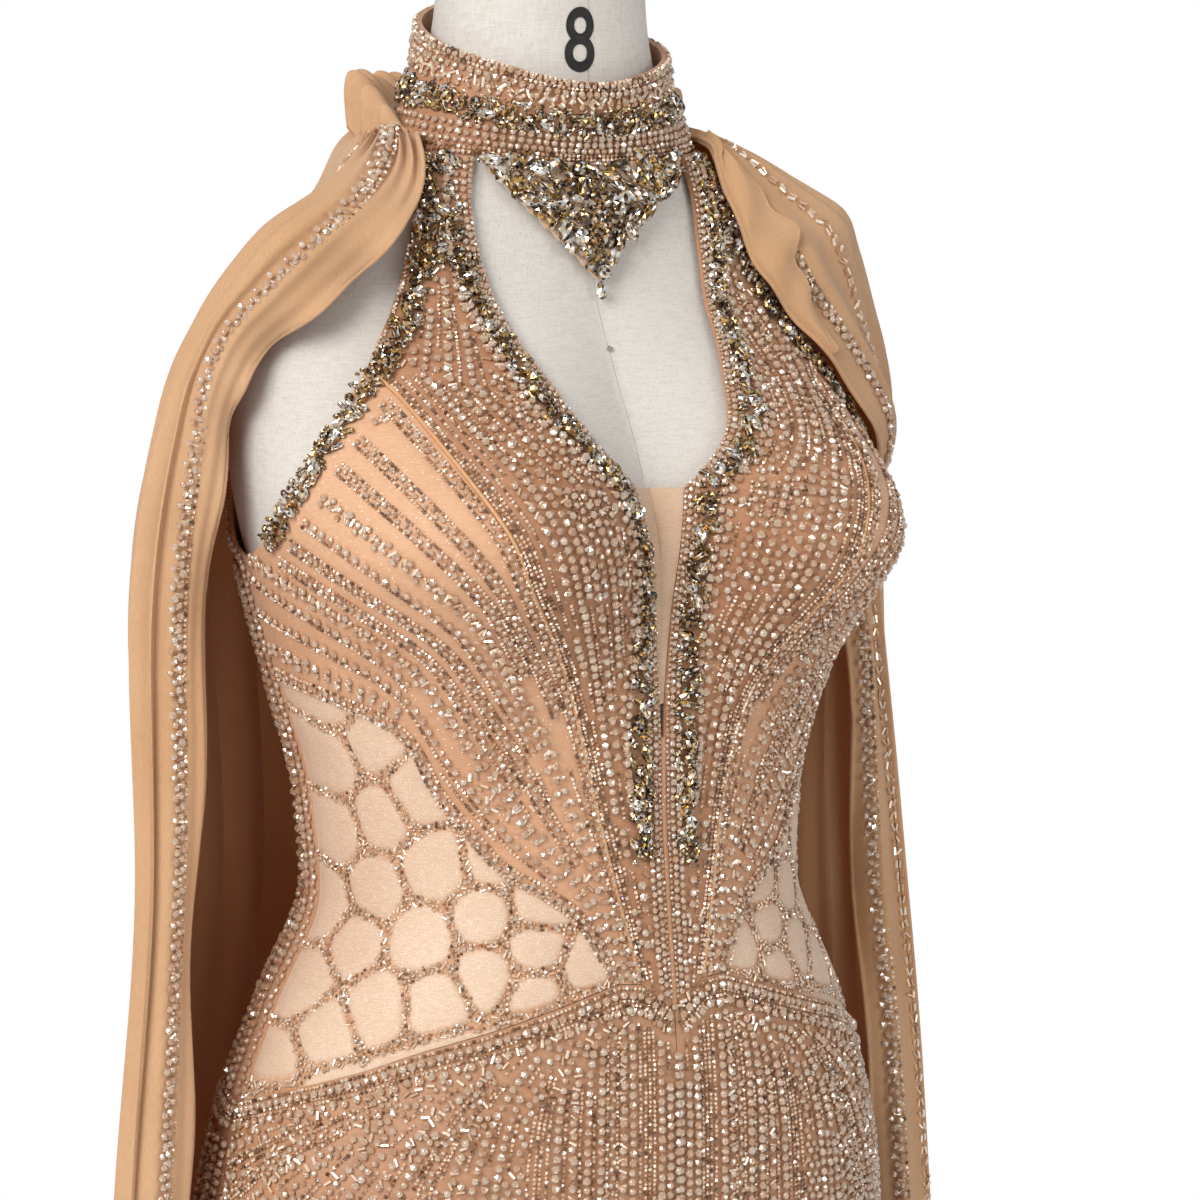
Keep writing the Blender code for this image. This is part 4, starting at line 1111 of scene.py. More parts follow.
def net_inset(name, node, upper, lower, columns, side):
    """Clear net that swells a little in each cell, between the lines that hold it."""
    upper, lower = finer_line(upper, INSET_FINER), finer_line(lower, INSET_FINER)
    share = np.linspace(0, 1, columns * FINER * INSET_FINER + 1)
    points, normals = on_gown(between(upper[:, None], lower[:, None], share[None, :, None]), CLOTH_LIFT)
    away = off_line(points)
    swell = np.clip((away - SWELL_FROM * COMB_HALF_WIDTH) / (SWELL_OVER * COMB_HALF_WIDTH), 0, 1)
    from_edge = (np.minimum(np.arange(n), n - 1 - np.arange(n)) / INSET_BORDER for n in away.shape)
    rise = CELL_RISE * swell**SWELL_ROUNDNESS * np.minimum.outer(*from_edge).clip(0, 1)
    shaped = pull_in(points, SEAM_GAP / 2) + normals * rise[..., None]
    made = add_shell(name, flip_side(shaped, side), flip_side(normals, side), NET_WALL, net_look)
    # painted shade along the lines between the cells, for the net's material to read
    painted_line_shade = np.clip(1.5 - away / COMB_HALF_WIDTH, 0, 1).ravel()
    add_values(made.data, "line", np.concatenate([painted_line_shade, painted_line_shade]))
    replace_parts(made, node)


def shortened(line, row, other, share):
    """The line with one end point moved towards the point next to it."""
    line = line.copy()
    line[row] = between(line[other], line[row], share)
    return line


def bodice_side(side, letter):
    panel(
        f"bodice_centre_{letter}", f"front_centre_{letter}", inner_edge, outer_edge, 5, side,
        bead_shaded_look,
    )
    panel(
        f"bodice_side_{letter}", f"front_side_{letter}", princess, shortened(side_edge, 0, 1, 0.5), 6, side,
        beaded_look, crowding=1.2,
    )
    net_inset(
        f"net_inset_{letter}", f"waist_inset_{letter}", shortened(inset_top, -1, -2, INSET_TIP),
        shortened(waist_side[::-1], -1, -2, INSET_TIP), 6, side,
    )
    panel(
        f"bodice_back_{letter}", f"back_{letter}", centre_back, back_edge, 8, side,
        beaded_look, crowding=0.8,
    )


bodice_side(-1, "R")
bodice_side(1, "L")
plunge_left = plunge[:-FINER]
panel(
    "plunge_net", "plunge_inset", plunge_left * (-1, 1), plunge_left, 4, 1, sheer_look, NET_WALL)

# ---------------------------------------------------------------- skirt cloth

SKIRT_LEVELS = [
    0.978, 0.94, 0.88, 0.81, 0.73, 0.65, 0.58, 0.52, 0.465, 0.415, 0.365, 0.315, 0.265, 0.21, 0.15, 0.085,
    HEM_HEIGHT,
]
EVEN_FROM = 3           # the level from which a gore's columns are evenly spread


def skirt_gore(name, node, top, hem_from, hem_to, side):
    """A gore from the waist seam to the hem, between two angles."""
    columns = len(top) - 1
    even = hem_from + (hem_to - hem_from) * np.arange(columns + 1) / columns
    rows = []
    for level in np.arange(0, len(SKIRT_LEVELS) + 1e-6, 1 / FINER):
        whole = min(int(level), len(SKIRT_LEVELS) - 1)
        high = SKIRT_LEVELS[whole - 1] if whole else top[:, 1]
        heights = high + (SKIRT_LEVELS[whole] - high) * (level - whole)
        angles = between(top[:, 0], even, min(level / EVEN_FROM, 1.0))
        rows.append(np.stack([angles, heights + 0 * angles], -1))
    points, normals = on_gown(np.stack(rows), CLOTH_LIFT, side)
    points = pull_in(points, SEAM_GAP / 2)
    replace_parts(add_shell(name, points, normals, CLOTH_WALL, seeded_look), node)


for side, letter in ((-1, "R"), (1, "L")):
    skirt_gore(f"gore_front_{letter}", f"skirt_front_{letter}", waist_front, 0, SIDE_SEAM, side)
    skirt_gore(f"gore_back_{letter}", f"skirt_back_{letter}", waist_back, SIDE_SEAM, 180, side)

# ---------------------------------------------------------------- collar

COLLAR_WALL, COLLAR_SEAT, COLLAR_FLARE, COLLAR_SLIT = 0.0025, 0.0008, 0.0045, 1.2
COLLAR_COLUMNS, COLLAR_FINER, COLLAR_ROWS, COLLAR_SAMPLES = 36, 4, 10, 300


def on_collar(angle, share, lift):
    """Points off the collar's inner side, at an angle and a share of its height."""
    angle, share = np.asarray(angle, float), np.asarray(share, float)
    height = between(collar_bottom(angle), collar_top(angle), share)
    return lifted(form_section, angle, height, COLLAR_SEAT + COLLAR_FLARE * share + lift)


def collar_cloth():
    reach = 180 - COLLAR_SLIT
    angles = np.linspace(-reach, reach, COLLAR_COLUMNS * COLLAR_FINER + 1)
    points, normals = on_collar(*np.meshgrid(angles, np.linspace(0, 1, COLLAR_ROWS)), 0)
    made = add_shell("collar_band", points, normals, COLLAR_WALL, bead_shaded_look)
    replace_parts(made, "collar")


ALL_ROUND = 177.5
CAPE_FROM = 79.0        # the cape and its frill hide the collar's lowest rows behind this angle


def collar_path(share, reach=ALL_ROUND):
    angles = np.linspace(-reach, reach, COLLAR_SAMPLES)
    return path_of(*on_collar(angles, np.full(COLLAR_SAMPLES, share), COLLAR_WALL))


# rows round the collar: share of its height, angle to each side of centre front, the beads' sizes
COLLAR_ROWS_SEWN = (
    (seed_row, 0.022, CAPE_FROM, {"radius": 0.00115, "pitch": 0.0024}),
    (seed_row, 0.070, CAPE_FROM, {"radius": 0.00115, "pitch": 0.0024}),
    (seed_row, 0.900, ALL_ROUND, {"radius": 0.00115, "pitch": 0.0024}),
    (seed_row, 0.985, ALL_ROUND, {"radius": 0.00115, "pitch": 0.0024}),
    (rondelles, 0.130, CAPE_FROM, {"radius": 0.0017, "pitch": 2.25 * 0.0017}),
    (rondelles, 0.205, CAPE_FROM + 10, {"radius": 0.0019, "pitch": 2.25 * 0.0019}),
    (rondelles, 0.285, CAPE_FROM + 20, {"radius": 0.0019, "pitch": 2.25 * 0.0019}),
    (rondelles, 0.835, ALL_ROUND, {"radius": 0.0019, "pitch": 2.25 * 0.0019}),
    (rondelles, 0.945, ALL_ROUND, {"radius": 0.0016, "pitch": 2.25 * 0.0016}),
    (bugle_row, 0.745, ALL_ROUND, {"turn": 50, "pitch": 0.0044, "length": 0.0024}),
    (bugle_row, 0.685, ALL_ROUND, {"turn": -50, "pitch": 0.0052, "length": 0.0022}),
    (rondelles, 0.765, ALL_ROUND, {"pitch": 0.0048, "radius": 0.0015, "sway": 0.0012}),
    (rondelles, 0.690, ALL_ROUND, {"pitch": 0.0052, "radius": 0.0016, "sway": 0.0010}),
)

collar_cloth()
for sew, share, reach, sizes in COLLAR_ROWS_SEWN:
    path = collar_path(share, reach)
    sew(f"collar_{BEADS_OF[sew]}", path, 0.0, path.run[-1], **sizes)

# ---------------------------------------------------------------- set stones

# each template's half length, half width and height where a stone has STONE_ROOM
STONE_SIZES = {
    "navette": (0.0046, 0.0050, 0.0036), "pear": (0.0042, 0.0046, 0.0038),
    "round": (0.0029, 0.0029, 0.0036), "baguette": (0.0040, 0.0040, 0.0030),
}
STONE_KINDS = (0.30, 0.26, 0.26, 0.18)      # how often each of those is set
STONE_ROOM, SMALL_ROOM, SMALL_STONE = 0.0056, 0.0035, (0.50, 0.50, 0.58)
STONE_OVERLAP = 0.84        # how close stones sit, as a share of the room each one takes
STONE_LEAN = 0.11


def set_stones(piece, points, normals, along, rooms):
    """Stones on these spots, the largest where there is most room."""
    kinds = rng.choice(len(STONE_KINDS), len(points), p=STONE_KINDS)
    heading = spun(along, np.cross(normals, along))
    lean = normals + rng.normal(0, STONE_LEAN, points.shape)
    tints = rng.choice(GEM_TINTS, len(points), p=GEM_SHARES)
    for kind, (template, size) in enumerate(STONE_SIZES.items()):
        big = (kinds == kind) & (rooms > SMALL_ROOM)
        scale = np.array(size) * (rooms[big, None] / STONE_ROOM)
        pile(piece, template, points[big], heading[big], lean[big], scale, tints[big])
    small = rooms <= SMALL_ROOM
    scale = rooms[small, None] * SMALL_STONE
    pile(piece, "round", points[small], heading[small], lean[small], scale, tints[small])


def packed(points, rooms):
    """Which of the points, each with its own room, stay clear of those before them."""
    kept = np.zeros(len(points), bool)
    spots, widths = np.empty((0, 3)), np.empty(0)
    for index, (point, room) in enumerate(zip(points, rooms)):
        if np.all(np.linalg.norm(spots - point, axis=1) > STONE_OVERLAP * (widths + room) / 2):
            kept[index] = True
            spots, widths = np.vstack([spots, point]), np.append(widths, room)
    return kept


def rooms_in_turn(tries, large_tries, middle_tries, large, middle, small):
    """The room that each try asks for: the first ones large, the next ones middling, the rest small."""
    turn = np.arange(tries)
    return np.select([turn < large_tries, turn < middle_tries], [large, middle], small)


def stone_band(piece, path, start, end, half_width, tries):
    """A band packed with large stones first, then with smaller ones in the gaps."""
    points, normals, along = at_run(path, rng.uniform(start, end, tries))
    aside = rng.uniform(-1, 1, tries)
    rooms = rooms_in_turn(tries, 0.25 * tries, 0.5 * tries, 0.0066, 0.0046, 0.0027)
    aside = np.where(rooms > 0.005, aside * 0.45, aside)
    points = points + np.cross(normals, along) * (aside * half_width)[:, None]
    kept = packed(points, rooms)
    set_stones(piece, points[kept], normals[kept], along[kept], rooms[kept])


def moved_in(edge, other, distance):
    """The edge line moved this far towards the other line, along the panel's rows."""
    a = surface(gown_section, edge[:, 0], edge[:, 1])
    b = surface(gown_section, other[:, 0], other[:, 1])
    length = np.maximum(np.linalg.norm(b - a, axis=1), distance)
    return between(edge, other, np.minimum(distance / length, 0.5)[:, None])


KEYHOLE_TRIM_INSET, ARMHOLE_TRIM_INSET, TRIM_HALF_WIDTH, KEYHOLE_TRIM_END = 0.0132, 0.0066, 0.0058, 1.108
TRIM_TRIES, COLLAR_STONE_TRIES = 1400, 4200
COLLAR_STONE_SHARE, COLLAR_STONE_REACH, COLLAR_STONE_HALF_WIDTH = 0.47, 172, 0.0064
STONE_LIFT = CLOTH_LIFT + CLOTH_WALL + 0.0010
strap_inner = inner_edge[: len(armhole_strap)]
keyhole_line = moved_in(inner_edge, outer_edge, KEYHOLE_TRIM_INSET)[FINER:]
keyhole_line = keyhole_line[keyhole_line[:, 1] > KEYHOLE_TRIM_END]
strap_line = moved_in(armhole_strap, strap_inner, ARMHOLE_TRIM_INSET)[4 * FINER:]
under_line = moved_in(armhole_side, princess[: len(armhole_side)], ARMHOLE_TRIM_INSET)[1:-FINER]
armhole_line = np.concatenate([strap_line, under_line])

stone_paths = []
for side, letter in ((-1, "R"), (1, "L")):
    for name, line in (("keyhole_stones", keyhole_line), ("armhole_stones", armhole_line)):
        path = gown_path(line, side, STONE_LIFT)
        stone_paths.append(path)
        stone_band(f"{name}_set_{letter}", path, 0.002, path.run[-1] - 0.002, TRIM_HALF_WIDTH, TRIM_TRIES)
        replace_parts(flush_gems(f"{name}_set_{letter}"), f"{name}_{letter}")

path = collar_path(COLLAR_STONE_SHARE, COLLAR_STONE_REACH)
stone_band("collar_stone_set", path, 0.0, path.run[-1], COLLAR_STONE_HALF_WIDTH, COLLAR_STONE_TRIES)
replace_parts(flush_gems("collar_stone_set"), "collar_stones")

# ---------------------------------------------------------------- pendant bib

BIB_SPAN, BIB_TIP, BIB_LIFT, BIB_WALL, BIB_SCALLOP, BIB_COLUMNS = 56.5, 1.3960, 0.0042, 0.0015, 0.0016, 16
BIB_POINTEDNESS, BIB_LEAST_DROP = 0.85, 0.0035
BIB_TRIES, BIB_LARGE, BIB_MIDDLE = 7000, 700, 2400
DROP_BELOW, DROP_SIZE = (0, 0, 0.0052), (0.0048, 0.0048, 0.0036)


def on_bib(across, down, lift):
    """Points of the bib's own surface, across from -1 to 1 and down from 0 to 1."""
    angle = BIB_SPAN * across
    top = collar_bottom(angle) - SEAM_GAP
    scallop = BIB_SCALLOP * (0.5 - 0.5 * np.cos(np.pi * BIB_COLUMNS * (across + 1)))
    drop = (top - BIB_TIP) * (1 - np.abs(across)) ** BIB_POINTEDNESS + BIB_LEAST_DROP + scallop
    return lifted(form_section, angle, top - drop * down, BIB_LIFT + lift)


def bib():
    """The bib: net backing, stones packed over it, and a drop at its tip."""
    points, normals = on_bib(*np.meshgrid(np.linspace(-1, 1, 129), np.linspace(0, 1, 13)), 0)
    add_shell("bib_backing", points, normals, BIB_WALL, net_look)
    across, down = rng.uniform(-0.985, 0.985, BIB_TRIES), rng.uniform(0.0, 0.97, BIB_TRIES)
    spots, facing = on_bib(across, down, BIB_WALL)
    rooms = rooms_in_turn(BIB_TRIES, BIB_LARGE, BIB_MIDDLE, 0.0080, 0.0054, 0.0030)
    kept = packed(spots, rooms)
    level = unit(np.cross((0, 0, 1.0), facing[kept]))
    set_stones("bib_stones", spots[kept], facing[kept], level, rooms[kept])
    tip, facing = on_bib(np.array([0.0]), np.array([1.0]), BIB_WALL)
    upright, clear = np.array([[0, 0, 1.0]]), np.array(GEM_TINTS[-1:])
    pile("bib_stones", "pear", tip - DROP_BELOW, upright, facing, DROP_SIZE, clear)
    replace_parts(flush_gems("bib_stones"), "pendant_bib")


bib()

# ---------------------------------------------------------------- bead work on the bodice

STITCH_STEPS, THIN_SHARE, SHORTEST = 40, 0.60, 0.010
CENTRE_STITCHES = ("rondelle", "mixed", "rondelle", "seed", "rondelle", "mixed", "rondelle", "stagger")
SIDE_STITCHES = ("cluster", "spaced", "band", "cluster", "band", "cluster", "spaced", "band")
CENTRE_PITCH, SIDE_PITCH, WAIST_PITCH, WAIST_FROM, BACK_PITCH = 0.0051, 0.0066, 0.0044, 1.165, 0.0062
TRIM_ASIDE, TRIM_CLEAR = (-0.004, 0, 0.004), 0.0026
STRAP_TRIES, STRAP_LARGE, STRAP_MIDDLE = 2600, 300, 900
FILL_TRIES, FILL_APART, FILL_BEADS = 9000, 1.25, 0.50
FILL_CHANGE, FILL_ROOM_ABOVE, FILL_ROOM_BELOW = 1.095, 0.0034, 0.0028
FILL_BEAD, FILL_BEAD_RISE, FILL_BUGLE = (0.0018, 0.0018, 0.0016), 0.0013, (0.0020, BUGLE_RADIUS, BUGLE_RADIUS)
FOLD_ROOM, FOLD_FROM, FOLD_TO = 0.0013, 1.165, 1.200    # the edge's rows make room for the fold below it
EdgeRow = namedtuple("EdgeRow", "distance stitch start share")
EDGE_ROWS = [
    EdgeRow(0.0011, "pearls", 0.001, 1.0), EdgeRow(0.0038, "small", 0.001, 1.0),
    EdgeRow(0.0074, "small", 0.001, 1.0), EdgeRow(0.0204, "rondelle", 0.002, 0.8),
    EdgeRow(0.0244, "mixed", 0.002, 0.8),
]


def trim_points():
    """Points all over the bands of stones, for the sewn lines to keep clear of."""
    spots = []
    for path in stone_paths:
        points, normals, along = at_run(path, np.arange(0, path.run[-1], SAMPLE_STEP))
        across = np.cross(normals, along)
        spots += [points + across * aside for aside in TRIM_ASIDE]
    return np.concatenate(spots)


def coons(c0, c1, d0, d1, u, count):
    """The line at share u between boundaries c0 and c1, whose ends run along d0 and d1."""
    t = np.linspace(0, 1, count)
    sides = (1 - u) * at_share(c0, t) + u * at_share(c1, t)
    t = t[:, None]
    ends = (1 - t) * at_share(d0, u) + t * at_share(d1, u)
    corners = (1 - u) * ((1 - t) * c0[0] + t * c0[-1]) + u * ((1 - t) * c1[0] + t * c1[-1])
    return sides + ends - corners


def stitched(line_at, shares, stitches, side):
    """The lines at these shares across a region. Their stitches follow each other, however fine they lie."""
    return [
        (stitches[int(u * STITCH_STEPS + 0.5) % len(stitches)], gown_path(line_at(u), side)) for u in shares]


def worked(region, line_at, levels, stitches, pitch_at, side, taken=(), filler=""):
    """Fills a region with sewn lines, line_at(u) for shares u from 0 to 1, and thin rows in the gaps left."""
    rows = [(1, stitched(line_at, level, stitches, side)) for level in levels]
    if filler:
        rows += [(THIN_SHARE, [(filler, path) for _, path in level]) for _, level in rows[1:]]
        rows.append((THIN_SHARE, stitched(line_at, halving_between(levels[-1]), (filler,), side)))
    kept = keep_apart(rows, pitch_at, SHORTEST, taken)
    for stitch, path, start, end in kept:
        work_line(stitch, region, path, start, end)
    return [sampled(path, start, end) for _, path, start, end in kept]


def fill_in(region, spots, side, taken, room):
    """Single beads where the sewn lines leave a bare spot, at some of these spots (angle, height)."""
    points, normals = on_gown(spots, CLOTH_LIFT + CLOTH_WALL, side)
    free = gaps_to(tree_of(np.concatenate(taken)), points) > room
    points, normals = points[free], normals[free]
    kept = packed(points, np.full(len(points), FILL_APART * room))
    points, normals = points[kept], normals[kept]
    aim = rng.normal(0, 1, points.shape)
    beads = rng.random(len(points)) < FILL_BEADS
    for chosen, template, kind, size, rise in (
        (beads, "ball", "rondelles", FILL_BEAD, FILL_BEAD_RISE),
        (~beads, "bugle", "bugles", FILL_BUGLE, BUGLE_RADIUS),
    ):
        places = points[chosen] + normals[chosen] * rise
        pile(f"{region}_{kind}", template, places, aim[chosen], normals[chosen], size)


def strap_stones(side):
    """The straps are covered with stones from edge to edge, above where the two bands part."""
    u, row = rng.uniform(0.30, 0.97, STRAP_TRIES), rng.uniform(0.5, 4.6 * FINER, STRAP_TRIES)
    spots = between(at_row(inner_edge, row), at_row(outer_edge, row), u[:, None])
    points, normals = on_gown(spots, STONE_LIFT, side)
    rooms = rooms_in_turn(STRAP_TRIES, STRAP_LARGE, STRAP_MIDDLE, 0.0056, 0.0042, 0.0027)
    trim = stones_taken[stones_taken[:, 0] * side > 0]
    clear = gaps_to(tree_of(trim), points) > TRIM_CLEAR
    points, normals, rooms = points[clear], normals[clear], rooms[clear]
    kept = packed(points, rooms)
    level = unit(np.cross(normals[kept], (0, 1.0, 0)))
    set_stones("strap_stone_set", points[kept], normals[kept], level, rooms[kept])
    return points[kept]


def sew_edges(side, letter):
    """Rows along the keyhole's edge, the strap and the princess seam with its cord. Gives where they lie."""
    rows = []
    for distance, stitch, start, share in EDGE_ROWS:
        beside_fold = np.interp(inner_edge[:, 1], (FOLD_FROM, FOLD_TO), (FOLD_ROOM, 0))
        path = gown_path(moved_in(inner_edge, outer_edge, distance + beside_fold), side)
        end = (path.run[-1] - 0.004) * share
        work_line(stitch, "bodice", path, start, end)
        rows.append(sampled(path, SAMPLE_STEP, end))
    path = gown_path(moved_in(armhole_strap, strap_inner, 0.0014), side)
    work_line("seed", "bodice", path, 0.001, path.run[-1])
    seam_path = gown_path(princess, side)
    points, normals, _ = at_run(seam_path, np.linspace(0.004, seam_path.run[-1] - 0.002, 160))
    add_tube(f"princess_cord_{letter}", points + normals * 0.0003, 0.0012, thread)
    path = gown_path(moved_in(princess, inner_edge[len(strap_inner) - 1:], 0.0036), side)
    work_line("double", "bodice", path, 0.004, path.run[-1] - 0.004)
    return [*rows, sampled(path, SAMPLE_STEP)]


def centre_line(u):
    return between(inner_edge, outer_edge, u)


def sew_centre(side, taken):
    """Rays over the bust, from the strap to the waist, with single beads in the bare spots."""
    rays = worked(
        "bodice", centre_line, halving(4, 4, ends=()), CENTRE_STITCHES, lambda points: CENTRE_PITCH,
        side, taken, "seed",
    )
    row, u = rng.uniform(1, len(inner_edge) - 1.02, FILL_TRIES), rng.uniform(0.02, 0.98, FILL_TRIES)
    spots = between(at_row(inner_edge, row), at_row(outer_edge, row), u[:, None])
    taken = [*taken, *rays]
    fill_in("bodice", spots[spots[:, 1] > FILL_CHANGE], side, taken, FILL_ROOM_ABOVE)
    fill_in("bodice", spots[spots[:, 1] < FILL_CHANGE], side, taken, FILL_ROOM_BELOW)


side_top = chain(armhole_side, side_upper)
side_tip = np.stack([princess[-1], inset_top[-1]])


def side_line(u):
    return coons(princess, inset_top, side_top, side_tip, u, 90)


def waist_pitch(points):
    """Room for finer rows near the waist alone."""
    return np.where(points[:, 2] > WAIST_FROM, 1.0, WAIST_PITCH)


def sew_side(side):
    """Wide rows that run from the armhole's edge to the front waist, and finer ones where they meet."""
    levels = halving(3, 2, ends=(0.045, 0.985))
    wide = worked("bodice", side_line, levels, SIDE_STITCHES, lambda points: SIDE_PITCH, side, [stones_taken])
    worked(
        "bodice", side_line, halving(12, 2)[1:], ("seed", "bugle"), waist_pitch, side, [stones_taken, *wide])


def back_panel_line(u):
    return between(centre_back, back_edge, u)


def sew_back(side):
    levels = halving(4, 4, ends=(0.015, 0.985))
    worked("back", back_panel_line, levels, CENTRE_STITCHES, lambda points: BACK_PITCH, side)


def centre_fold():
    """The fold down centre front, from the plunge to the waist."""
    heights = np.linspace(1.1765, 1.0475, 60)
    points, normals = on_gown(np.stack([0 * heights, heights], -1), CLOTH_LIFT + CLOTH_WALL)
    add_tube("centre_front_fold", points + normals * 0.0002, 0.0015, bead_shaded_look, 8)


stones_taken = trim_points()
strap_spots = [strap_stones(side) for side in (-1, 1)]
flush_gems("strap_stone_set")
for side, letter, strap in ((-1, "R", strap_spots[0]), (1, "L", strap_spots[1])):
    edge_rows = sew_edges(side, letter)
    sew_centre(side, [stones_taken, strap, *edge_rows])
    sew_side(side)
    sew_back(side)
centre_fold()

# ---------------------------------------------------------------- honeycomb on the net insets

COMB_TRIES, COMB_PITCH, INSET_TOP_BAND, SEAM_CLEAR = 34000, 0.00170, 0.0042, 0.0012
COMB_WIDTHS = ((20, 0.75), (60, 1.0), (95, 1.2))        # angle, share of the lines' half width
CombBead = namedtuple("CombBead", "draw_below template piece size rise")
COMB_BEADS = (
    CombBead(0.30, "ball", "comb_rondelles", (0.00130, 0.00130, 0.0012), 0.0009),
    CombBead(0.80, "chip", "comb_seeds", (0.00100, 0.00100, 0.0009), 0.0007),
    CombBead(1.00, "bugle", "comb_bugles", (0.0014, 0.0006, 0.0006), 0.0007),
)


def neighbours(cell):
    return [tuple(np.add(cell, step)) for step in product((-1, 0, 1), repeat=3)]


def spaced_out(points, chosen, pitch):
    """Of the chosen points, one after the other, those that are farther apart than the pitch."""
    taken, kept = {}, []
    for index in chosen:
        cell = tuple((points[index] / pitch).astype(int))
        near = [taken[key] for key in neighbours(cell) if key in taken]
        if all(np.linalg.norm(points[index] - other) > pitch for other in near):
            taken[cell] = points[index]
            kept.append(index)
    return kept


def comb_beads(side):
    """Small beads sewn close together along the lines between the cells and along the inset's top."""
    u, t = rng.random(COMB_TRIES), rng.random(COMB_TRIES)
    spots = between(at_share(inset_top, t), at_share(waist_side[::-1], t), u[:, None])
    points, normals = on_gown(spots, CLOTH_LIFT + NET_WALL)
    top_edge = surface(gown_section, inset_top[:, 0], inset_top[:, 1])
    below_top = np.min(np.linalg.norm(points[:, None] - top_edge[None], axis=2), axis=1)
    half_width = COMB_HALF_WIDTH * np.interp(spots[:, 0], *zip(*COMB_WIDTHS))
    chosen = (off_line(points) < half_width) | (below_top < INSET_TOP_BAND)
    chosen &= spots[:, 1] > np.interp(spots[:, 0], *waist_side.T) + SEAM_CLEAR
    kept = spaced_out(points, np.flatnonzero(chosen), COMB_PITCH)
    points, normals = flip_side(points[kept], side), flip_side(normals[kept], side)
    draw = rng.random(len(kept))
    aim = rng.normal(0, 1, points.shape)
    draw_from = 0
    for bead in COMB_BEADS:
        share = (draw >= draw_from) & (draw < bead.draw_below)
        draw_from = bead.draw_below
        places = points[share] + normals[share] * bead.rise
        pile(bead.piece, bead.template, places, aim[share], normals[share], bead.size)


for side in (-1, 1):
    comb_beads(side)

# ---------------------------------------------------------------- bead work on the skirt

FAN_RATE, FAN_REACH, FAN_LEAST_REACH = 1250.0, 320.0, 0.4       # degrees a metre as the seam falls, degrees
FAN_START, FAN_CROWDING = 15.5, 2.2
SEAM_DROP, BACK_DROP, HEM_ROOM, SIDE_ROOM = 0.0035, 0.019, 0.004, 0.6
SKIRT_STITCHES = ("rondelle", "mixed", "rondelle", "double", "stagger", "rondelle", "mixed", "band")
LOW_SKIRT, LOW_PITCH, LOW_BEAD = 0.895, 0.0062, 0.0020
SKIRT_SHORTEST, SKIRT_THIN_SHARE, SKIRT_FILL_ROOM, BACK_PITCH_SHARE = 0.012, 0.7, 0.0030, 1.3
# the room between lines: by height, and by angle from centre front
PITCH_BY_HEIGHT = ((0.0, 0.030), (0.55, 0.0185), (0.80, 0.0105), (0.90, 0.0050), (0.93, 0.0044))
PITCH_BY_ANGLE = ((15, 0.0046), (45, 0.0050), (80, 0.0058))
# rows below the waist seam: distance below it, stitch
WAIST_ROWS = [(0.0020, "seed"), (0.0054, "rondelle"), (0.0090, "double"), (0.0130, "mixed")]


def fan_line(u):
    """A line that leaves the waist's point along the seam and turns down to its own angle."""
    start = FAN_START * min(u * FAN_CROWDING, 1) ** 0.5
    top = np.interp(start, *zip(WAIST_MIDDLE, PRINCESS_FOOT, INSET_CORNER)) - SEAM_DROP
    reach = max(FAN_REACH * u * u, FAN_LEAST_REACH)
    drop = np.concatenate([np.linspace(0, 0.2, 120), np.linspace(0.203, top - HEM_HEIGHT - HEM_ROOM, 160)])
    angle = start + reach * (1 - np.exp(-FAN_RATE * drop / reach))
    return np.stack([angle, top - drop], -1)[angle < SIDE_SEAM - SIDE_ROOM]


def back_line(u):
    """A straight line down the back of the skirt."""
    angle = SIDE_SEAM + SIDE_ROOM + (180 - SIDE_SEAM - 2 * SIDE_ROOM) * u
    top = np.interp(angle, *zip(WAIST_AT_SIDE, WAIST_AT_BACK)) - BACK_DROP
    return np.stack([np.full(200, angle), np.linspace(top, HEM_HEIGHT + HEM_ROOM, 200)], -1)


def skirt_pitch(points):
    angle = np.abs(np.degrees(np.arctan2(points[:, 0], -points[:, 1])))
    by_height = np.interp(points[:, 2], *zip(*PITCH_BY_HEIGHT))
    return np.maximum(by_height, np.interp(angle, *zip(*PITCH_BY_ANGLE)))


def back_pitch(points):
    return skirt_pitch(points) * BACK_PITCH_SHARE


def sew_skirt(line_at, levels, side, pitch_at, taken):
    """Full bead work where the skirt shows in a close view, and fewer, plainer beads below it."""
    long_enough = ([u for u in level if len(line_at(u)) > 3] for level in levels)
    rows = [(1, stitched(line_at, level, SKIRT_STITCHES, side)) for level in long_enough]
    thin = [(SKIRT_THIN_SHARE, [("seed", path) for _, path in level]) for _, level in rows[2:]]
    kept = keep_apart(rows + thin, pitch_at, SKIRT_SHORTEST, taken)
    for stitch, path, start, end in kept:
        lengths = np.linspace(start, end, 60)
        low = lengths[np.interp(lengths, path.run, path.points[:, 2]) < LOW_SKIRT]
        turn = low[0] if len(low) else end
        if turn - start > 0.004:
            work_line(stitch, "skirt", path, start, turn)
        if end - turn > 0.004:
            rondelles("skirt_lower_beads", path, turn, end, pitch=LOW_PITCH, radius=LOW_BEAD, template="chip")
    return [sampled(path, start, end) for _, path, start, end in kept]


def sew_waist(side):
    """Rows just below the waist seam, front and back. Gives where the front ones lie."""
    rows = []
    for drop, stitch in WAIST_ROWS:
        path = gown_path(waist_front - (0, drop), side)
        work_line(stitch, "skirt", path, 0.003, path.run[-1] - 0.001)
        rows.append(sampled(path))
        path = gown_path(waist_back - (0, drop), side)
        work_line(stitch, "back", path, 0.001, path.run[-1] - 0.001)
    return rows


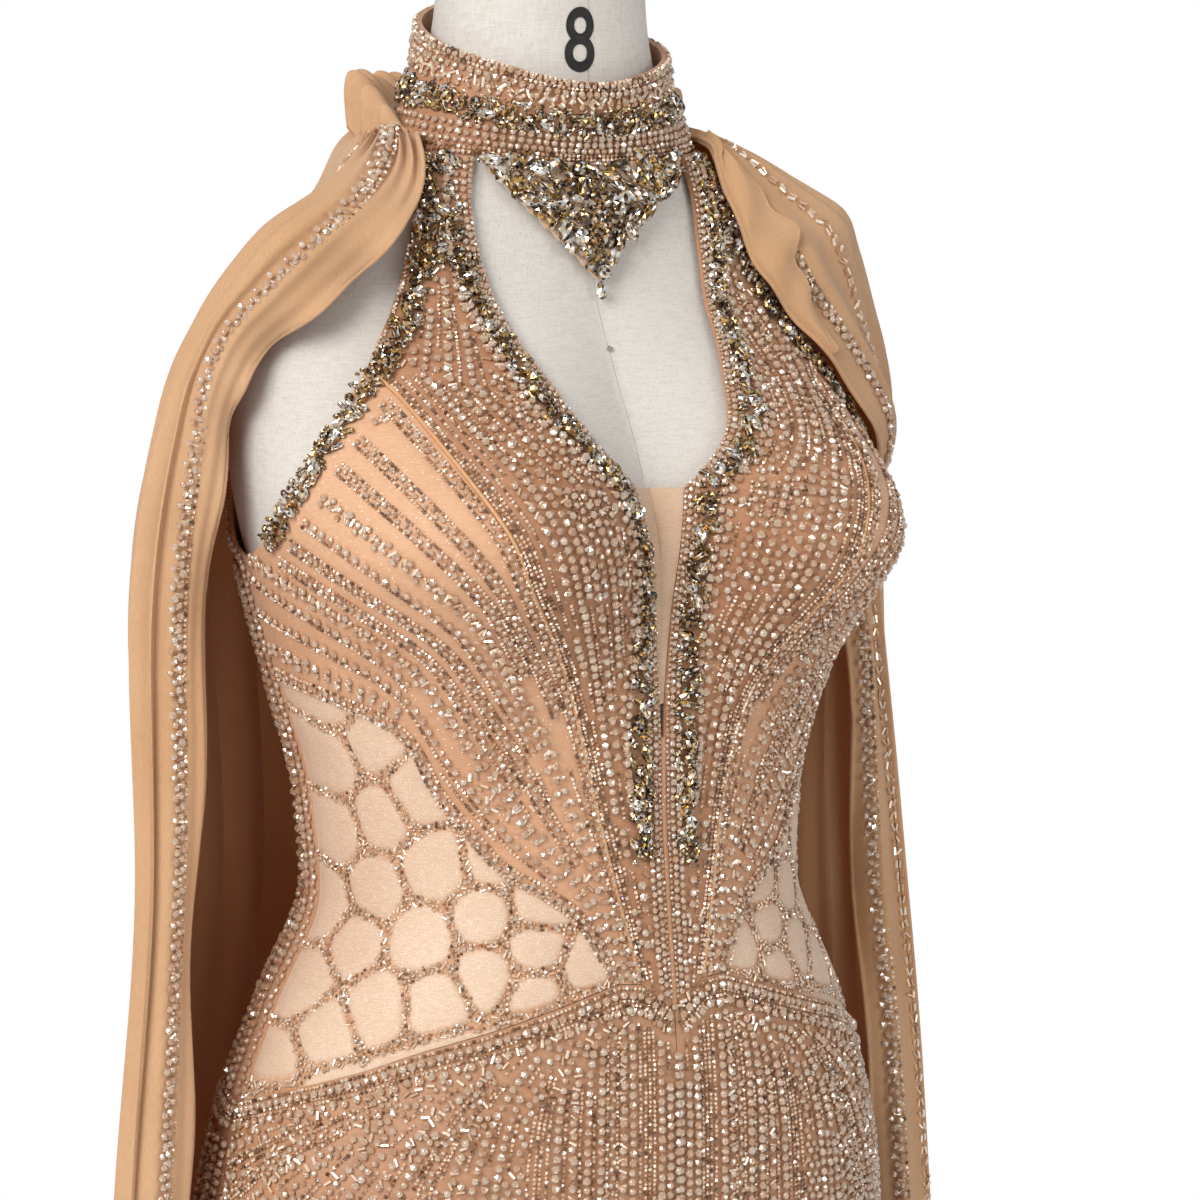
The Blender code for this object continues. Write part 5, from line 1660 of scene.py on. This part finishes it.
def fill_skirt(side, taken):
    """Single beads in the bare spots of the upper skirt's front."""
    angles = rng.uniform(0.2, SIDE_SEAM - 1, FILL_TRIES)
    tops = np.interp(angles, *zip(WAIST_MIDDLE, PRINCESS_FOOT, *waist_side)) - 0.003
    spots = np.stack([angles, rng.uniform(LOW_SKIRT, tops)], -1)
    fill_in("skirt", spots, side, taken, SKIRT_FILL_ROOM)


for side in (-1, 1):
    rows = sew_waist(side)
    fans = sew_skirt(fan_line, halving(6, 6), side, skirt_pitch, rows)
    fill_skirt(side, [*rows, *fans])
    sew_skirt(back_line, halving(6, 4), side, back_pitch, [])

# ---------------------------------------------------------------- cape

# rows down the panel, each from its front edge to centre back
CAPE_ROWS = np.array([
    ((.098, -.038, 1.436), (.120, -.018, 1.457), (.100, .012, 1.463), (.075, .065, 1.459), (.010, .095, 1.447)),
    ((.126, -.042, 1.405), (.161, -.031, 1.430), (.126, .002, 1.436), (.090, .067, 1.428), (.010, .112, 1.410)),
    ((.153, -.024, 1.378), (.180, -.020, 1.402), (.150, .012, 1.406), (.112, .083, 1.396), (.010, .128, 1.365)),
    ((.174, -.004, 1.350), (.194, -.004, 1.372), (.170, .020, 1.372), (.128, .096, 1.364), (.010, .136, 1.315)),
    ((.180, .005, 1.312), (.205, .007, 1.328), (.185, .031, 1.328), (.138, .101, 1.322), (.010, .136, 1.255)),
    ((.186, .014, 1.240), (.213, .019, 1.240), (.196, .042, 1.240), (.144, .115, 1.240), (.010, .137, 1.180)),
    ((.195, .014, 1.100), (.220, .006, 1.100), (.190, .036, 1.100), (.135, .119, 1.100), (.010, .140, 1.090)),
    ((.203, .010, .960), (.234, .002, .960), (.198, .041, .960), (.142, .135, .960), (.010, .162, .960)),
    ((.211, .004, .750), (.250, .000, .750), (.214, .050, .750), (.160, .148, .750), (.010, .170, .750)),
    ((.218, -.002, .480), (.266, -.002, .480), (.234, .060, .480), (.180, .164, .480), (.012, .184, .480)),
])
CAPE_COLUMNS, CAPE_FIRST_COLUMN = 18, 16
GATHER_STEP = (180 - COLLAR_SLIT) / COLLAR_COLUMNS
CAPE_COLLAR_SHARE, CAPE_COLLAR_LIFT = 0.12, COLLAR_WALL + 0.0005
CAPE_CLEAR, SHOULDER_SAG, SAG_ACROSS, SAG_DOWN = 0.0078, 0.0115, (0.32, 0.24), (0.13, 0.10)
CAPE_ACROSS = np.concatenate([np.linspace(0, 0.12, 22)[:-1], np.linspace(0.12, 1, 78)])
CAPE_DOWN = np.linspace(0, 1, 150) ** 1.25

# the solid's own long folds and waved front edge
CAPE_FOLDS, CAPE_FOLD_DEPTH, LOOSE_FROM, LOOSE_OVER, BACK_FROM, BACK_OVER = 3.5, 0.005, 0.10, 0.35, 0.80, 0.20
EDGE_WAVES, EDGE_WAVE_DEPTH, EDGE_REACH, EDGE_FULL, EDGE_HELD = 8, 0.005, 0.05, 0.15, 0.7
# gathers at the collar, and fine uneven folds all over
GATHERS, GATHER_DEPTH, GATHER_FULL, GATHER_DOWN = 17, 0.0027, 0.012, (0.02, 0.075)
FINE_DEPTH, FINE_FROM, FINE_OVER, FINE_DRIFT, FINE_FOLDS, FINER_FOLDS = 0.0013, 0.05, 0.2, 0.012, 9.3, 15.1
# long soft folds that hang from the shoulder, as shares across and down the panel
Fold = namedtuple("Fold", "place lean depth half_width top bottom")
HANGING_FOLDS = [
    Fold(0.235, 0.02, 0.0040, 0.014, 0.22, 0.92), Fold(0.300, -0.03, 0.0065, 0.020, 0.16, 1.10),
    Fold(0.372, 0.02, 0.0045, 0.013, 0.30, 0.86), Fold(0.430, 0.04, 0.0080, 0.022, 0.12, 1.10),
    Fold(0.505, -0.02, 0.0050, 0.015, 0.34, 1.10), Fold(0.560, 0.03, 0.0070, 0.018, 0.10, 0.74),
    Fold(0.618, -0.03, 0.0055, 0.016, 0.26, 1.10), Fold(0.680, 0.02, 0.0085, 0.021, 0.14, 1.10),
    Fold(0.752, -0.02, 0.0050, 0.013, 0.40, 1.10), Fold(0.806, 0.03, 0.0065, 0.017, 0.10, 0.90),
    Fold(0.872, -0.01, 0.0070, 0.016, 0.18, 1.10), Fold(0.935, 0.01, 0.0035, 0.010, 0.24, 0.80),
]

# the left panel's front edge is drawn in to the strap above the bust and turned back on the panel
DRAWN_FROM, DRAWN_FULL, DRAWN_ACROSS, DRAWN_LIFT, DRAWN_GAP = 1.262, 1.315, 0.46, 0.0105, -3.0
TurnedBack = namedtuple("TurnedBack", "down width")     # shares of the panel's length and width
TURNED_BACK = [
    TurnedBack(0.020, 0.010), TurnedBack(0.070, 0.045), TurnedBack(0.130, 0.082), TurnedBack(0.190, 0.088),
    TurnedBack(0.250, 0.066), TurnedBack(0.310, 0.046), TurnedBack(0.360, 0.028), TurnedBack(0.410, 0.008),
]
TURN_SEAT, TURN_RISE, TURN_WAVE, TURN_CLOSED, TURN_WALL = 0.0012, 0.0030, 0.35, 0.10, 0.0008

# where each panel's beaded border and dashed row run across it: at the collar, the shoulder and the hem
BAND_ROW = {"R": (0.16, 0.15, 0.105), "L": (0.095, 0.060, 0.080)}
DASHED_ROW = {"R": (0.44, 0.44, 0.44), "L": (0.150, 0.175, 0.190)}
BAND_START = {"R": 0.004, "L": 0.070}
ROW_PLACES, ROW_END = (0, 0.30, 1), 0.97

FRILL_WAVES, FRILL_FROM, FRILL_TO, FRILL_GROWN, FRILL_START = 52, 85.0, 177.6, 21.0, 0.12
FRILL_COLUMNS, FRILL_ROWS, FRILL_WALL, FRILL_PLEAT = 380, 18, 0.0008, 0.0027
Frill = namedtuple("Frill", "share out up")     # from where it is gathered to its edge
FRILL_PROFILE = [
    Frill(0.00, 0.0006, 0.0000), Frill(0.14, 0.0060, 0.0020), Frill(0.34, 0.0140, 0.0060),
    Frill(0.52, 0.0212, 0.0030), Frill(0.68, 0.0232, -0.0060), Frill(0.84, 0.0226, -0.0150),
    Frill(1.00, 0.0215, -0.0235),
]
ROLL_RADIUS, ROLL_SINK, TURNED_ROLL_RADIUS = 0.0013, 0.0006, 0.0011


def bell(value, middle, width):
    return np.exp(-((value - middle) / width) ** 2)


def cape_form(across, down):
    """The chiffon's smooth form on a grid: across from the front edge to the back, down from the collar."""
    angle = CAPE_FIRST_COLUMN * GATHER_STEP + GATHER_STEP * CAPE_COLUMNS * across
    first = on_collar(angle, np.full(len(across), CAPE_COLLAR_SHARE), CAPE_COLLAR_LIFT)[0]
    form = spline(np.stack([first] + [spline(row, across) for row in CAPE_ROWS]), down)
    form[..., 2] -= SHOULDER_SAG * (bell(across, *SAG_ACROSS)[None] * bell(down, *SAG_DOWN)[:, None])
    return form


def drawn_in(form):
    """The panel with its front edge moved in to lie beside the strap, and how much each row is moved."""
    edge = form[:, 0]
    heights, angles = np.array(sorted((height, angle) for angle, height in ARMHOLE_STRAP + ARMHOLE_SIDE)).T
    beside = np.interp(edge[:, 2], heights, angles) + DRAWN_GAP
    target = lifted(gown_section, beside, edge[:, 2], DRAWN_LIFT)[0]
    pull = ease((edge[:, 2] - DRAWN_FROM) / (DRAWN_FULL - DRAWN_FROM)) * ease(CAPE_DOWN / 0.06)
    reach = np.clip(1 - CAPE_ACROSS / DRAWN_ACROSS, 0, 1) ** 1.6
    return form + pull[:, None, None] * reach[None, :, None] * (target - edge)[:, None], pull


def kept_clear(points):
    """Points moved straight out from the form's middle where they would touch the gown or its stones."""
    flat = points.reshape(-1, 3)
    centre_y = gown_section(flat[:, 2])[3]
    angle = np.degrees(np.arctan2(flat[:, 0], centre_y - flat[:, 1]))
    middle = np.column_stack([0 * centre_y, centre_y, flat[:, 2]])
    least = np.linalg.norm(surface(gown_section, angle, flat[:, 2]) - middle, axis=1) + CAPE_CLEAR
    reach = np.linalg.norm(flat - middle, axis=1)
    return (middle + (flat - middle) * np.maximum(least / reach, 1)[:, None]).reshape(points.shape)


def hanging_fold(fold, across, down, seed_turn):
    """One soft fold that wanders a little down the panel and fades at both ends."""
    place = fold.place + fold.lean * (down - 0.5) + 0.008 * np.sin(4 * down + 9 * fold.place + seed_turn)
    length = ease((down - fold.top - 0.16) / 0.30) * ease((fold.bottom - down) / 0.22)
    return fold.depth * length * bell(across, place, fold.half_width)


def gathers(across, down, seed_turn):
    """Uneven pleats where the panel is gathered into the collar."""
    room = bell(down, *GATHER_DOWN) * np.minimum(down / GATHER_FULL, 1)
    uneven = GATHERS * across + 0.6 * np.sin(9 * across + seed_turn)
    return GATHER_DEPTH * room * (1 + np.sin(2 * np.pi * uneven))


def cape_fold(across, down, seed_turn, held):
    """How far the chiffon lies off its smooth form, over a grid of shares across and down."""
    across, down = across[None, :], down[:, None]
    loose = np.clip((down - LOOSE_FROM) / LOOSE_OVER, 0, 1)
    back_free = 1 - np.maximum((across - BACK_FROM) / BACK_OVER, 0)
    folds = CAPE_FOLD_DEPTH * loose * back_free * np.sin(2 * np.pi * CAPE_FOLDS * across)
    free_edge = 1 - EDGE_HELD * np.reshape(held, (-1, 1))
    edge = np.exp(-across / EDGE_REACH) * np.minimum(down / EDGE_FULL, 1) * free_edge
    folds = folds + EDGE_WAVE_DEPTH * edge * np.sin(2 * np.pi * EDGE_WAVES * down)
    folds = folds + gathers(across, down, seed_turn)
    for fold in HANGING_FOLDS:
        folds = folds + hanging_fold(fold, across, down, seed_turn)
    drift = across + FINE_DRIFT * np.sin(5 * down + seed_turn)
    fine = np.sin(2 * np.pi * FINE_FOLDS * drift + seed_turn)
    fine = fine + 0.6 * np.sin(2 * np.pi * FINER_FOLDS * drift + 2 * seed_turn)
    return folds + FINE_DEPTH * np.clip((down - FINE_FROM) / FINE_OVER, 0, 1) * back_free * (1 + fine)


def turned_back(outer, normals):
    """The strip of the left panel's front edge that is folded back on it, above the bust."""
    shares, widths = np.array(TURNED_BACK).T
    down = np.linspace(shares[0], shares[-1], 70)
    width = np.interp(down, shares, widths) * (1 + 0.10 * np.sin(70 * down))
    part = np.linspace(0, 1, 15) ** 1.4
    rows = np.interp(down, CAPE_DOWN, np.arange(len(CAPE_DOWN)))

    def pick(grid, row, across):
        low = int(row)
        line = between(grid[low], grid[min(low + 1, len(grid) - 1)], row - low)
        return columns_at(across, CAPE_ACROSS, line)

    points, facing = (
        np.stack([pick(grid, row, part * wide) for row, wide in zip(rows, width)]) for grid in (outer, normals))
    facing = unit(facing)
    rise = TURN_RISE * np.sqrt(np.sin(np.pi * np.clip(0.06 + 0.72 * part, 0, 1)))
    waved = 1 + TURN_WAVE * np.sin(55 * down[:, None] + 3 * part[None])
    fold = np.sqrt(np.clip(part / TURN_CLOSED, 0, 1))
    points = points + facing * (fold[None] * (TURN_SEAT + rise[None] * waved))[..., None]
    add_tube("cape_turned_roll", points[:, -1], TURNED_ROLL_RADIUS, chiffon)
    add_shell("cape_turned_edge", points, facing, TURN_WALL, chiffon)


def cape_path(outer, normals, across, sway, seed_turn):
    """A line down the chiffon's outer side, at the shares across it that a row above gives."""
    wander = np.interp(CAPE_DOWN, ROW_PLACES, across)
    wander = wander + sway * np.sin(np.linspace(0, 14, len(CAPE_DOWN)) + seed_turn)
    points, facing = (
        np.array([columns_at(place, CAPE_ACROSS, line) for place, line in zip(wander, grid)])
        for grid in (outer, normals))
    return path_of(points, unit(facing))


def bead_band(path, start, end):
    """The border of the cape: a row of dark seeds with two rows of clear beads beside it."""
    seed_row("cape_seeds", path, start, end, aside=0.0044, pitch=0.0026, radius=0.0012)
    rondelles("cape_clear_beads", path, start, end, pitch=0.0050, aside=0.0014, radius=0.0021, sway=0.0004)
    rondelles(
        "cape_clear_beads", path, start + 0.0025, end, pitch=0.0050, aside=-0.0022, radius=0.0020, sway=0.0008)
    bugle_row("cape_bugles", path, start + 0.0015, end, turn=70, pitch=0.0060, aside=0.0006, length=0.0019)


def dashes(path, start, end):
    """Pairs of small bugles side by side, in a spaced row."""
    for aside in (-0.0011, 0.0011):
        bugle_row("cape_bugles", path, start, end, turn=0, pitch=0.0064, aside=aside, length=0.0020)


def frill(side, letter, seed_turn):
    """The cape's own heading, which puffs out from where it is gathered onto the collar and turns down."""
    angle, part = np.meshgrid(np.linspace(FRILL_FROM, FRILL_TO, FRILL_COLUMNS), np.linspace(0, 1, FRILL_ROWS))
    grown = ease((angle - FRILL_FROM) / FRILL_GROWN + FRILL_START)
    turn = np.radians(angle) * FRILL_WAVES + seed_turn
    wave = np.sin(turn) + 0.45 * np.sin(0.61 * turn + seed_turn)
    pleat = FRILL_PLEAT * np.minimum(part / 0.25, 1) * (1 + 0.4 * part) * wave * grown
    shares, *profile = np.array(FRILL_PROFILE).T
    places = np.interp(part[:, 0], shares, np.linspace(0, 1, len(shares)))
    curve = spline(np.stack(profile, -1), places)
    out, up = curve[:, :1] * grown + pleat, curve[:, 1:] * grown + 0.8 * pleat
    points, _ = on_collar(angle, CAPE_COLLAR_SHARE + 0.005 + 0.13 * grown, CAPE_COLLAR_LIFT + out)
    points[..., 2] += up
    facing = grid_normals(points)
    if facing[FRILL_ROWS // 2, 150, 2] < 0:
        facing = -facing
    points, facing = flip_side(points, side), flip_side(facing, side)
    add_shell(f"cape_heading_{letter}", points, facing, FRILL_WALL, chiffon)


def cape_panel(side, letter, seed_turn):
    """One panel of the cape with its rolled edges, its rows of beads and its heading."""
    form, pull = cape_form(CAPE_ACROSS, CAPE_DOWN), 0 * CAPE_DOWN
    if letter == "L":
        form, pull = drawn_in(form)
    normals = grid_normals(form)
    if normals[75, 20, 0] < 0:
        normals = -normals
    points = form + normals * cape_fold(CAPE_ACROSS, CAPE_DOWN, seed_turn, pull)[..., None]
    if letter == "L":
        points = points + pull[:, None, None] * (kept_clear(points) - points)
    points, normals = flip_side(points, side), flip_side(normals, side)
    made = add_shell(f"cape_panel_{letter}", points, normals, CHIFFON_WALL, chiffon)
    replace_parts(made, f"cape_{letter}")
    outer = points + normals * CHIFFON_WALL
    sunk = outer - normals * ROLL_SINK
    add_tube(f"cape_front_roll_{letter}", sunk[1:, 0], ROLL_RADIUS, chiffon)
    add_tube(f"cape_hem_roll_{letter}", sunk[-1], ROLL_RADIUS, chiffon)
    path = cape_path(outer, normals, BAND_ROW[letter], 0.006, seed_turn)
    bead_band(path, BAND_START[letter], path.run[-1] * ROW_END)
    path = cape_path(outer, normals, DASHED_ROW[letter], 0.004, seed_turn)
    dashes(path, path.run[-1] * 0.02, path.run[-1] * ROW_END)
    frill(side, letter, seed_turn)
    if letter == "L":
        turned_back(outer, normals)


cape_panel(-1, "R", 0.4)
cape_panel(1, "L", 2.1)

# ---------------------------------------------------------------- dress form and stand

FORM_COLUMNS, FORM_LEVELS, SEAM_POINTS, SEAM_FROM, SEAM_RADIUS = 120, 110, 120, 1.30, 0.00022
# the neck cap's rings: height over the rim, share of the rim's size
CAP_PROFILE = ((0.0004, 1.0), (0.0070, 1.0), (0.0098, 0.985), (0.0114, 0.955), (0.0120, 0.92), (0.0121, 0.5))
PIN_HEIGHT, PIN_LIFT, PIN_SIZE = 1.3603, 0.0012, (0.0016, 0.0016, 0.0013)
NUMERAL, NUMERAL_BOLDER = "8", 0.012
NUMERAL_ANGLE, NUMERAL_WIDTH, NUMERAL_HEIGHT, NUMERAL_TALL = -6.3, 21.5, 1.5095, 0.0315     # degrees, metres
NUMERAL_LIFT, NUMERAL_WALL = 0.00035, 0.0006


def form_ring(height):
    angles = np.arange(FORM_COLUMNS) * 360 / FORM_COLUMNS
    return surface(form_section, angles, np.full(FORM_COLUMNS, height))


def form_line(angle, heights, lift):
    """A line up the linen form at one angle."""
    return path_of(*lifted(form_section, np.full(len(heights), angle), np.asarray(heights, float), lift))


rings = np.stack([form_ring(height) for height in np.linspace(FORM_BOTTOM, NECK_RIM, FORM_LEVELS)])
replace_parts(add_body("linen_form", rings, linen), "form_torso")
rim = form_ring(NECK_RIM)
middle = rim.mean(0)
rings = np.stack([middle + (rim - middle) * scale + (0, 0, rise) for rise, scale in CAP_PROFILE])
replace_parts(add_body("linen_neck_cap", rings, linen), "neck_cap")

seam_look = mottled_look("form_seam", (178, 168, 154), 0.9, 600, (160, 150, 136), (188, 180, 168))
for name, angle in (("form_seam_front", 0.0), ("form_seam_back", 180.0)):
    line = form_line(angle, np.linspace(SEAM_FROM, NECK_RIM - 0.001, SEAM_POINTS), 0.0)
    add_tube(name, line.points, SEAM_RADIUS, seam_look, 5)

pin = form_line(0.0, [PIN_HEIGHT], PIN_LIFT)
pile("form_pin", "ball", pin.points, np.array([[1.0, 0, 0]]), pin.normals, PIN_SIZE)
flush("form_pin", pin_look, True)


def flat_numeral():
    """Points and faces of the numeral in plain default type, lying flat."""
    text = bpy.data.curves.new("numeral", "FONT")
    text.body = NUMERAL
    text.align_x, text.align_y = "CENTER", "CENTER"
    text.resolution_u = 6
    text.offset = NUMERAL_BOLDER
    flat = bpy.data.objects.new("numeral", text)
    bpy.context.scene.collection.objects.link(flat)
    bpy.context.view_layer.update()
    mesh = bpy.data.meshes.new_from_object(flat.evaluated_get(bpy.context.evaluated_depsgraph_get()))
    bpy.data.objects.remove(flat)
    return np.array([v.co for v in mesh.vertices]), [tuple(p.vertices) for p in mesh.polygons]


def numeral():
    """The form's own size numeral, wrapped on the neck: its face, and its back just under the linen."""
    points, faces = flat_numeral()
    low, high = points.min(0), points.max(0)
    points = (points - (low + high) / 2) / (high - low + (0, 0, 1))
    angle, height = NUMERAL_ANGLE + points[:, 0] * NUMERAL_WIDTH, NUMERAL_HEIGHT + points[:, 1] * NUMERAL_TALL
    front, normals = lifted(form_section, angle, height, NUMERAL_LIFT)
    back = front - normals * NUMERAL_WALL
    back_faces = [tuple(i + len(points) for i in face[::-1]) for face in faces]
    groups = faces_by_size(faces + back_faces)
    add_piece("size_numeral", np.concatenate([front, back]), groups, ink, False)


numeral()

STAND = ("pole_flange", "stand_pole", "stand_base")
BUTTONS = [f"back_button_{number:02d}" for number in range(1, 9)]
for names, look in ((STAND, steel), (BUTTONS, button_look)):
    for name in names:
        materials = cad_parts[name].data.materials
        materials.clear()
        materials.append(look.material)

# ---------------------------------------------------------------- the piled beads become pieces

PILED = [
    (f"{region}_{kind}", look) for region in ("collar", "bodice", "back", "comb", "skirt")
    for kind, look in (("rondelles", glass), ("seeds", seeds), ("bugles", bugles))
]
PILED += [
    ("skirt_lower_beads", glass), ("cape_clear_beads", glass), ("cape_seeds", seeds), ("cape_bugles", bugles)]
for piece, look in PILED:
    flush(piece, look, smooth=look is glass)

# ---------------------------------------------------------------- a record type for the cloth's own cut, which nothing fills

Cut = namedtuple("Cut", "name width length area held holder others")    # others: pieces that belong to it

# ---------------------------------------------------------------- floor, camera, lights

FLOOR_RADIUS, FLOOR_SIDES = 3.2, 64
CAMERA_AZIMUTH, CAMERA_ELEVATION, CAMERA_DISTANCE = -33.0, 5.5, 2.4
CAMERA_HEIGHT, CAMERA_ASIDE, CAMERA_LENS, LIGHT_AIM = 1.2344, 0.02475, 145.4545, (0, 0, 1.2)


def add_floor():
    mesh = bpy.data.meshes.new("floor")
    turn = np.linspace(0, 2 * np.pi, FLOOR_SIDES, endpoint=False)
    circle = [(FLOOR_RADIUS * math.cos(t), FLOOR_RADIUS * math.sin(t), 0) for t in turn]
    mesh.from_pydata(circle, [], [tuple(range(FLOOR_SIDES))])
    look = mottled_look("studio_floor", (244, 243, 241), 0.9, 0.8, (242, 241, 239), (246, 245, 244))
    mesh.materials.append(look.material)
    made = bpy.data.objects.new("floor", mesh)
    bpy.context.scene.collection.objects.link(made)


def add_camera(back):
    """The photo's own camera. back is the direction from the gown to it."""
    azimuth = math.radians(CAMERA_AZIMUTH)
    right = Vector((math.cos(azimuth), math.sin(azimuth), 0))
    camera = bpy.data.objects.new("camera", bpy.data.cameras.new("camera"))
    bpy.context.scene.collection.objects.link(camera)
    camera.location = Vector((0, 0, CAMERA_HEIGHT)) + right * CAMERA_ASIDE + back * CAMERA_DISTANCE
    camera.rotation_euler = back.to_track_quat("Z", "Y").to_euler()
    camera.data.sensor_width = 36
    camera.data.lens = CAMERA_LENS
    camera.data.clip_end = 200
    bpy.context.scene.camera = camera


def camera_direction():
    azimuth, elevation = math.radians(CAMERA_AZIMUTH), math.radians(CAMERA_ELEVATION)
    aside, level = math.sin(azimuth), math.cos(elevation)
    return Vector((aside * level, -math.cos(azimuth) * level, math.sin(elevation)))


def softbox(name, place, power, width, height, colour=(1, 1, 1)):
    light = bpy.data.lights.new(name, "AREA")
    light.shape = "RECTANGLE"
    light.size, light.size_y, light.energy, light.color = width, height, power, colour
    made = bpy.data.objects.new(name, light)
    bpy.context.scene.collection.objects.link(made)
    made.location = place
    made.rotation_euler = (Vector(place) - Vector(LIGHT_AIM)).to_track_quat("Z", "Y").to_euler()


STUDIO_LIGHT, BACKDROP_LIGHT, GLINT_LIGHT = 0.34, 1.0, 8.0
BACKDROP_FROM, BACKDROP_FULL = 0.86, 0.955      # how near a direction is to the camera's own
LAMP_SCALE, LAMP_SIZE, CEILING_FROM = 6.5, 0.20, 0.36


def studio(back):
    """A bright backdrop behind the gown, and a ceiling with many small lamps that glint in the beads."""
    world = bpy.data.worlds.new("studio")
    world.use_nodes = True
    tree = world.node_tree

    def maths(operation, *values):
        inputs = {f"i{place}": value for place, value in enumerate(values)}
        return add_node(tree, "ShaderNodeMath", {"operation": operation}, **inputs).outputs[0]

    heading = add_node(tree, "ShaderNodeTexCoord").outputs["Generated"]
    facing = add_node(
        tree, "ShaderNodeVectorMath", {"operation": "DOT_PRODUCT"}, i0=heading, i1=tuple(-back)).outputs["Value"]
    backdrop = add_node(
        tree, "ShaderNodeMapRange", Value=facing, From_Min=BACKDROP_FROM, From_Max=BACKDROP_FULL).outputs[0]
    lamps = add_node(tree, "ShaderNodeTexVoronoi", Vector=heading, Scale=LAMP_SCALE).outputs["Distance"]
    rise = add_node(tree, "ShaderNodeSeparateXYZ", Vector=heading).outputs["Z"]
    glints = maths("MULTIPLY", maths("LESS_THAN", lamps, LAMP_SIZE), maths("GREATER_THAN", rise, CEILING_FROM))
    ceiling = maths("MULTIPLY_ADD", glints, GLINT_LIGHT, STUDIO_LIGHT)
    strength = add_node(
        tree, "ShaderNodeMapRange", Value=backdrop, To_Min=ceiling, To_Max=BACKDROP_LIGHT).outputs[0]
    background = tree.nodes["Background"]
    feed(tree, background.inputs["Strength"], strength)
    feed(tree, background.inputs["Color"], (1, 1, 1, 1))
    bpy.context.scene.world = world


add_floor()
add_camera(camera_direction())
softbox("key_light", (-3.3, -1.7, 3.0), 150, 2.3, 2.3, (1, 0.985, 0.96))
softbox("fill_light", (1.6, -3.4, 2.0), 26, 1.2, 1.6)
studio(camera_direction())
bpy.context.scene.view_settings.view_transform = "Standard"
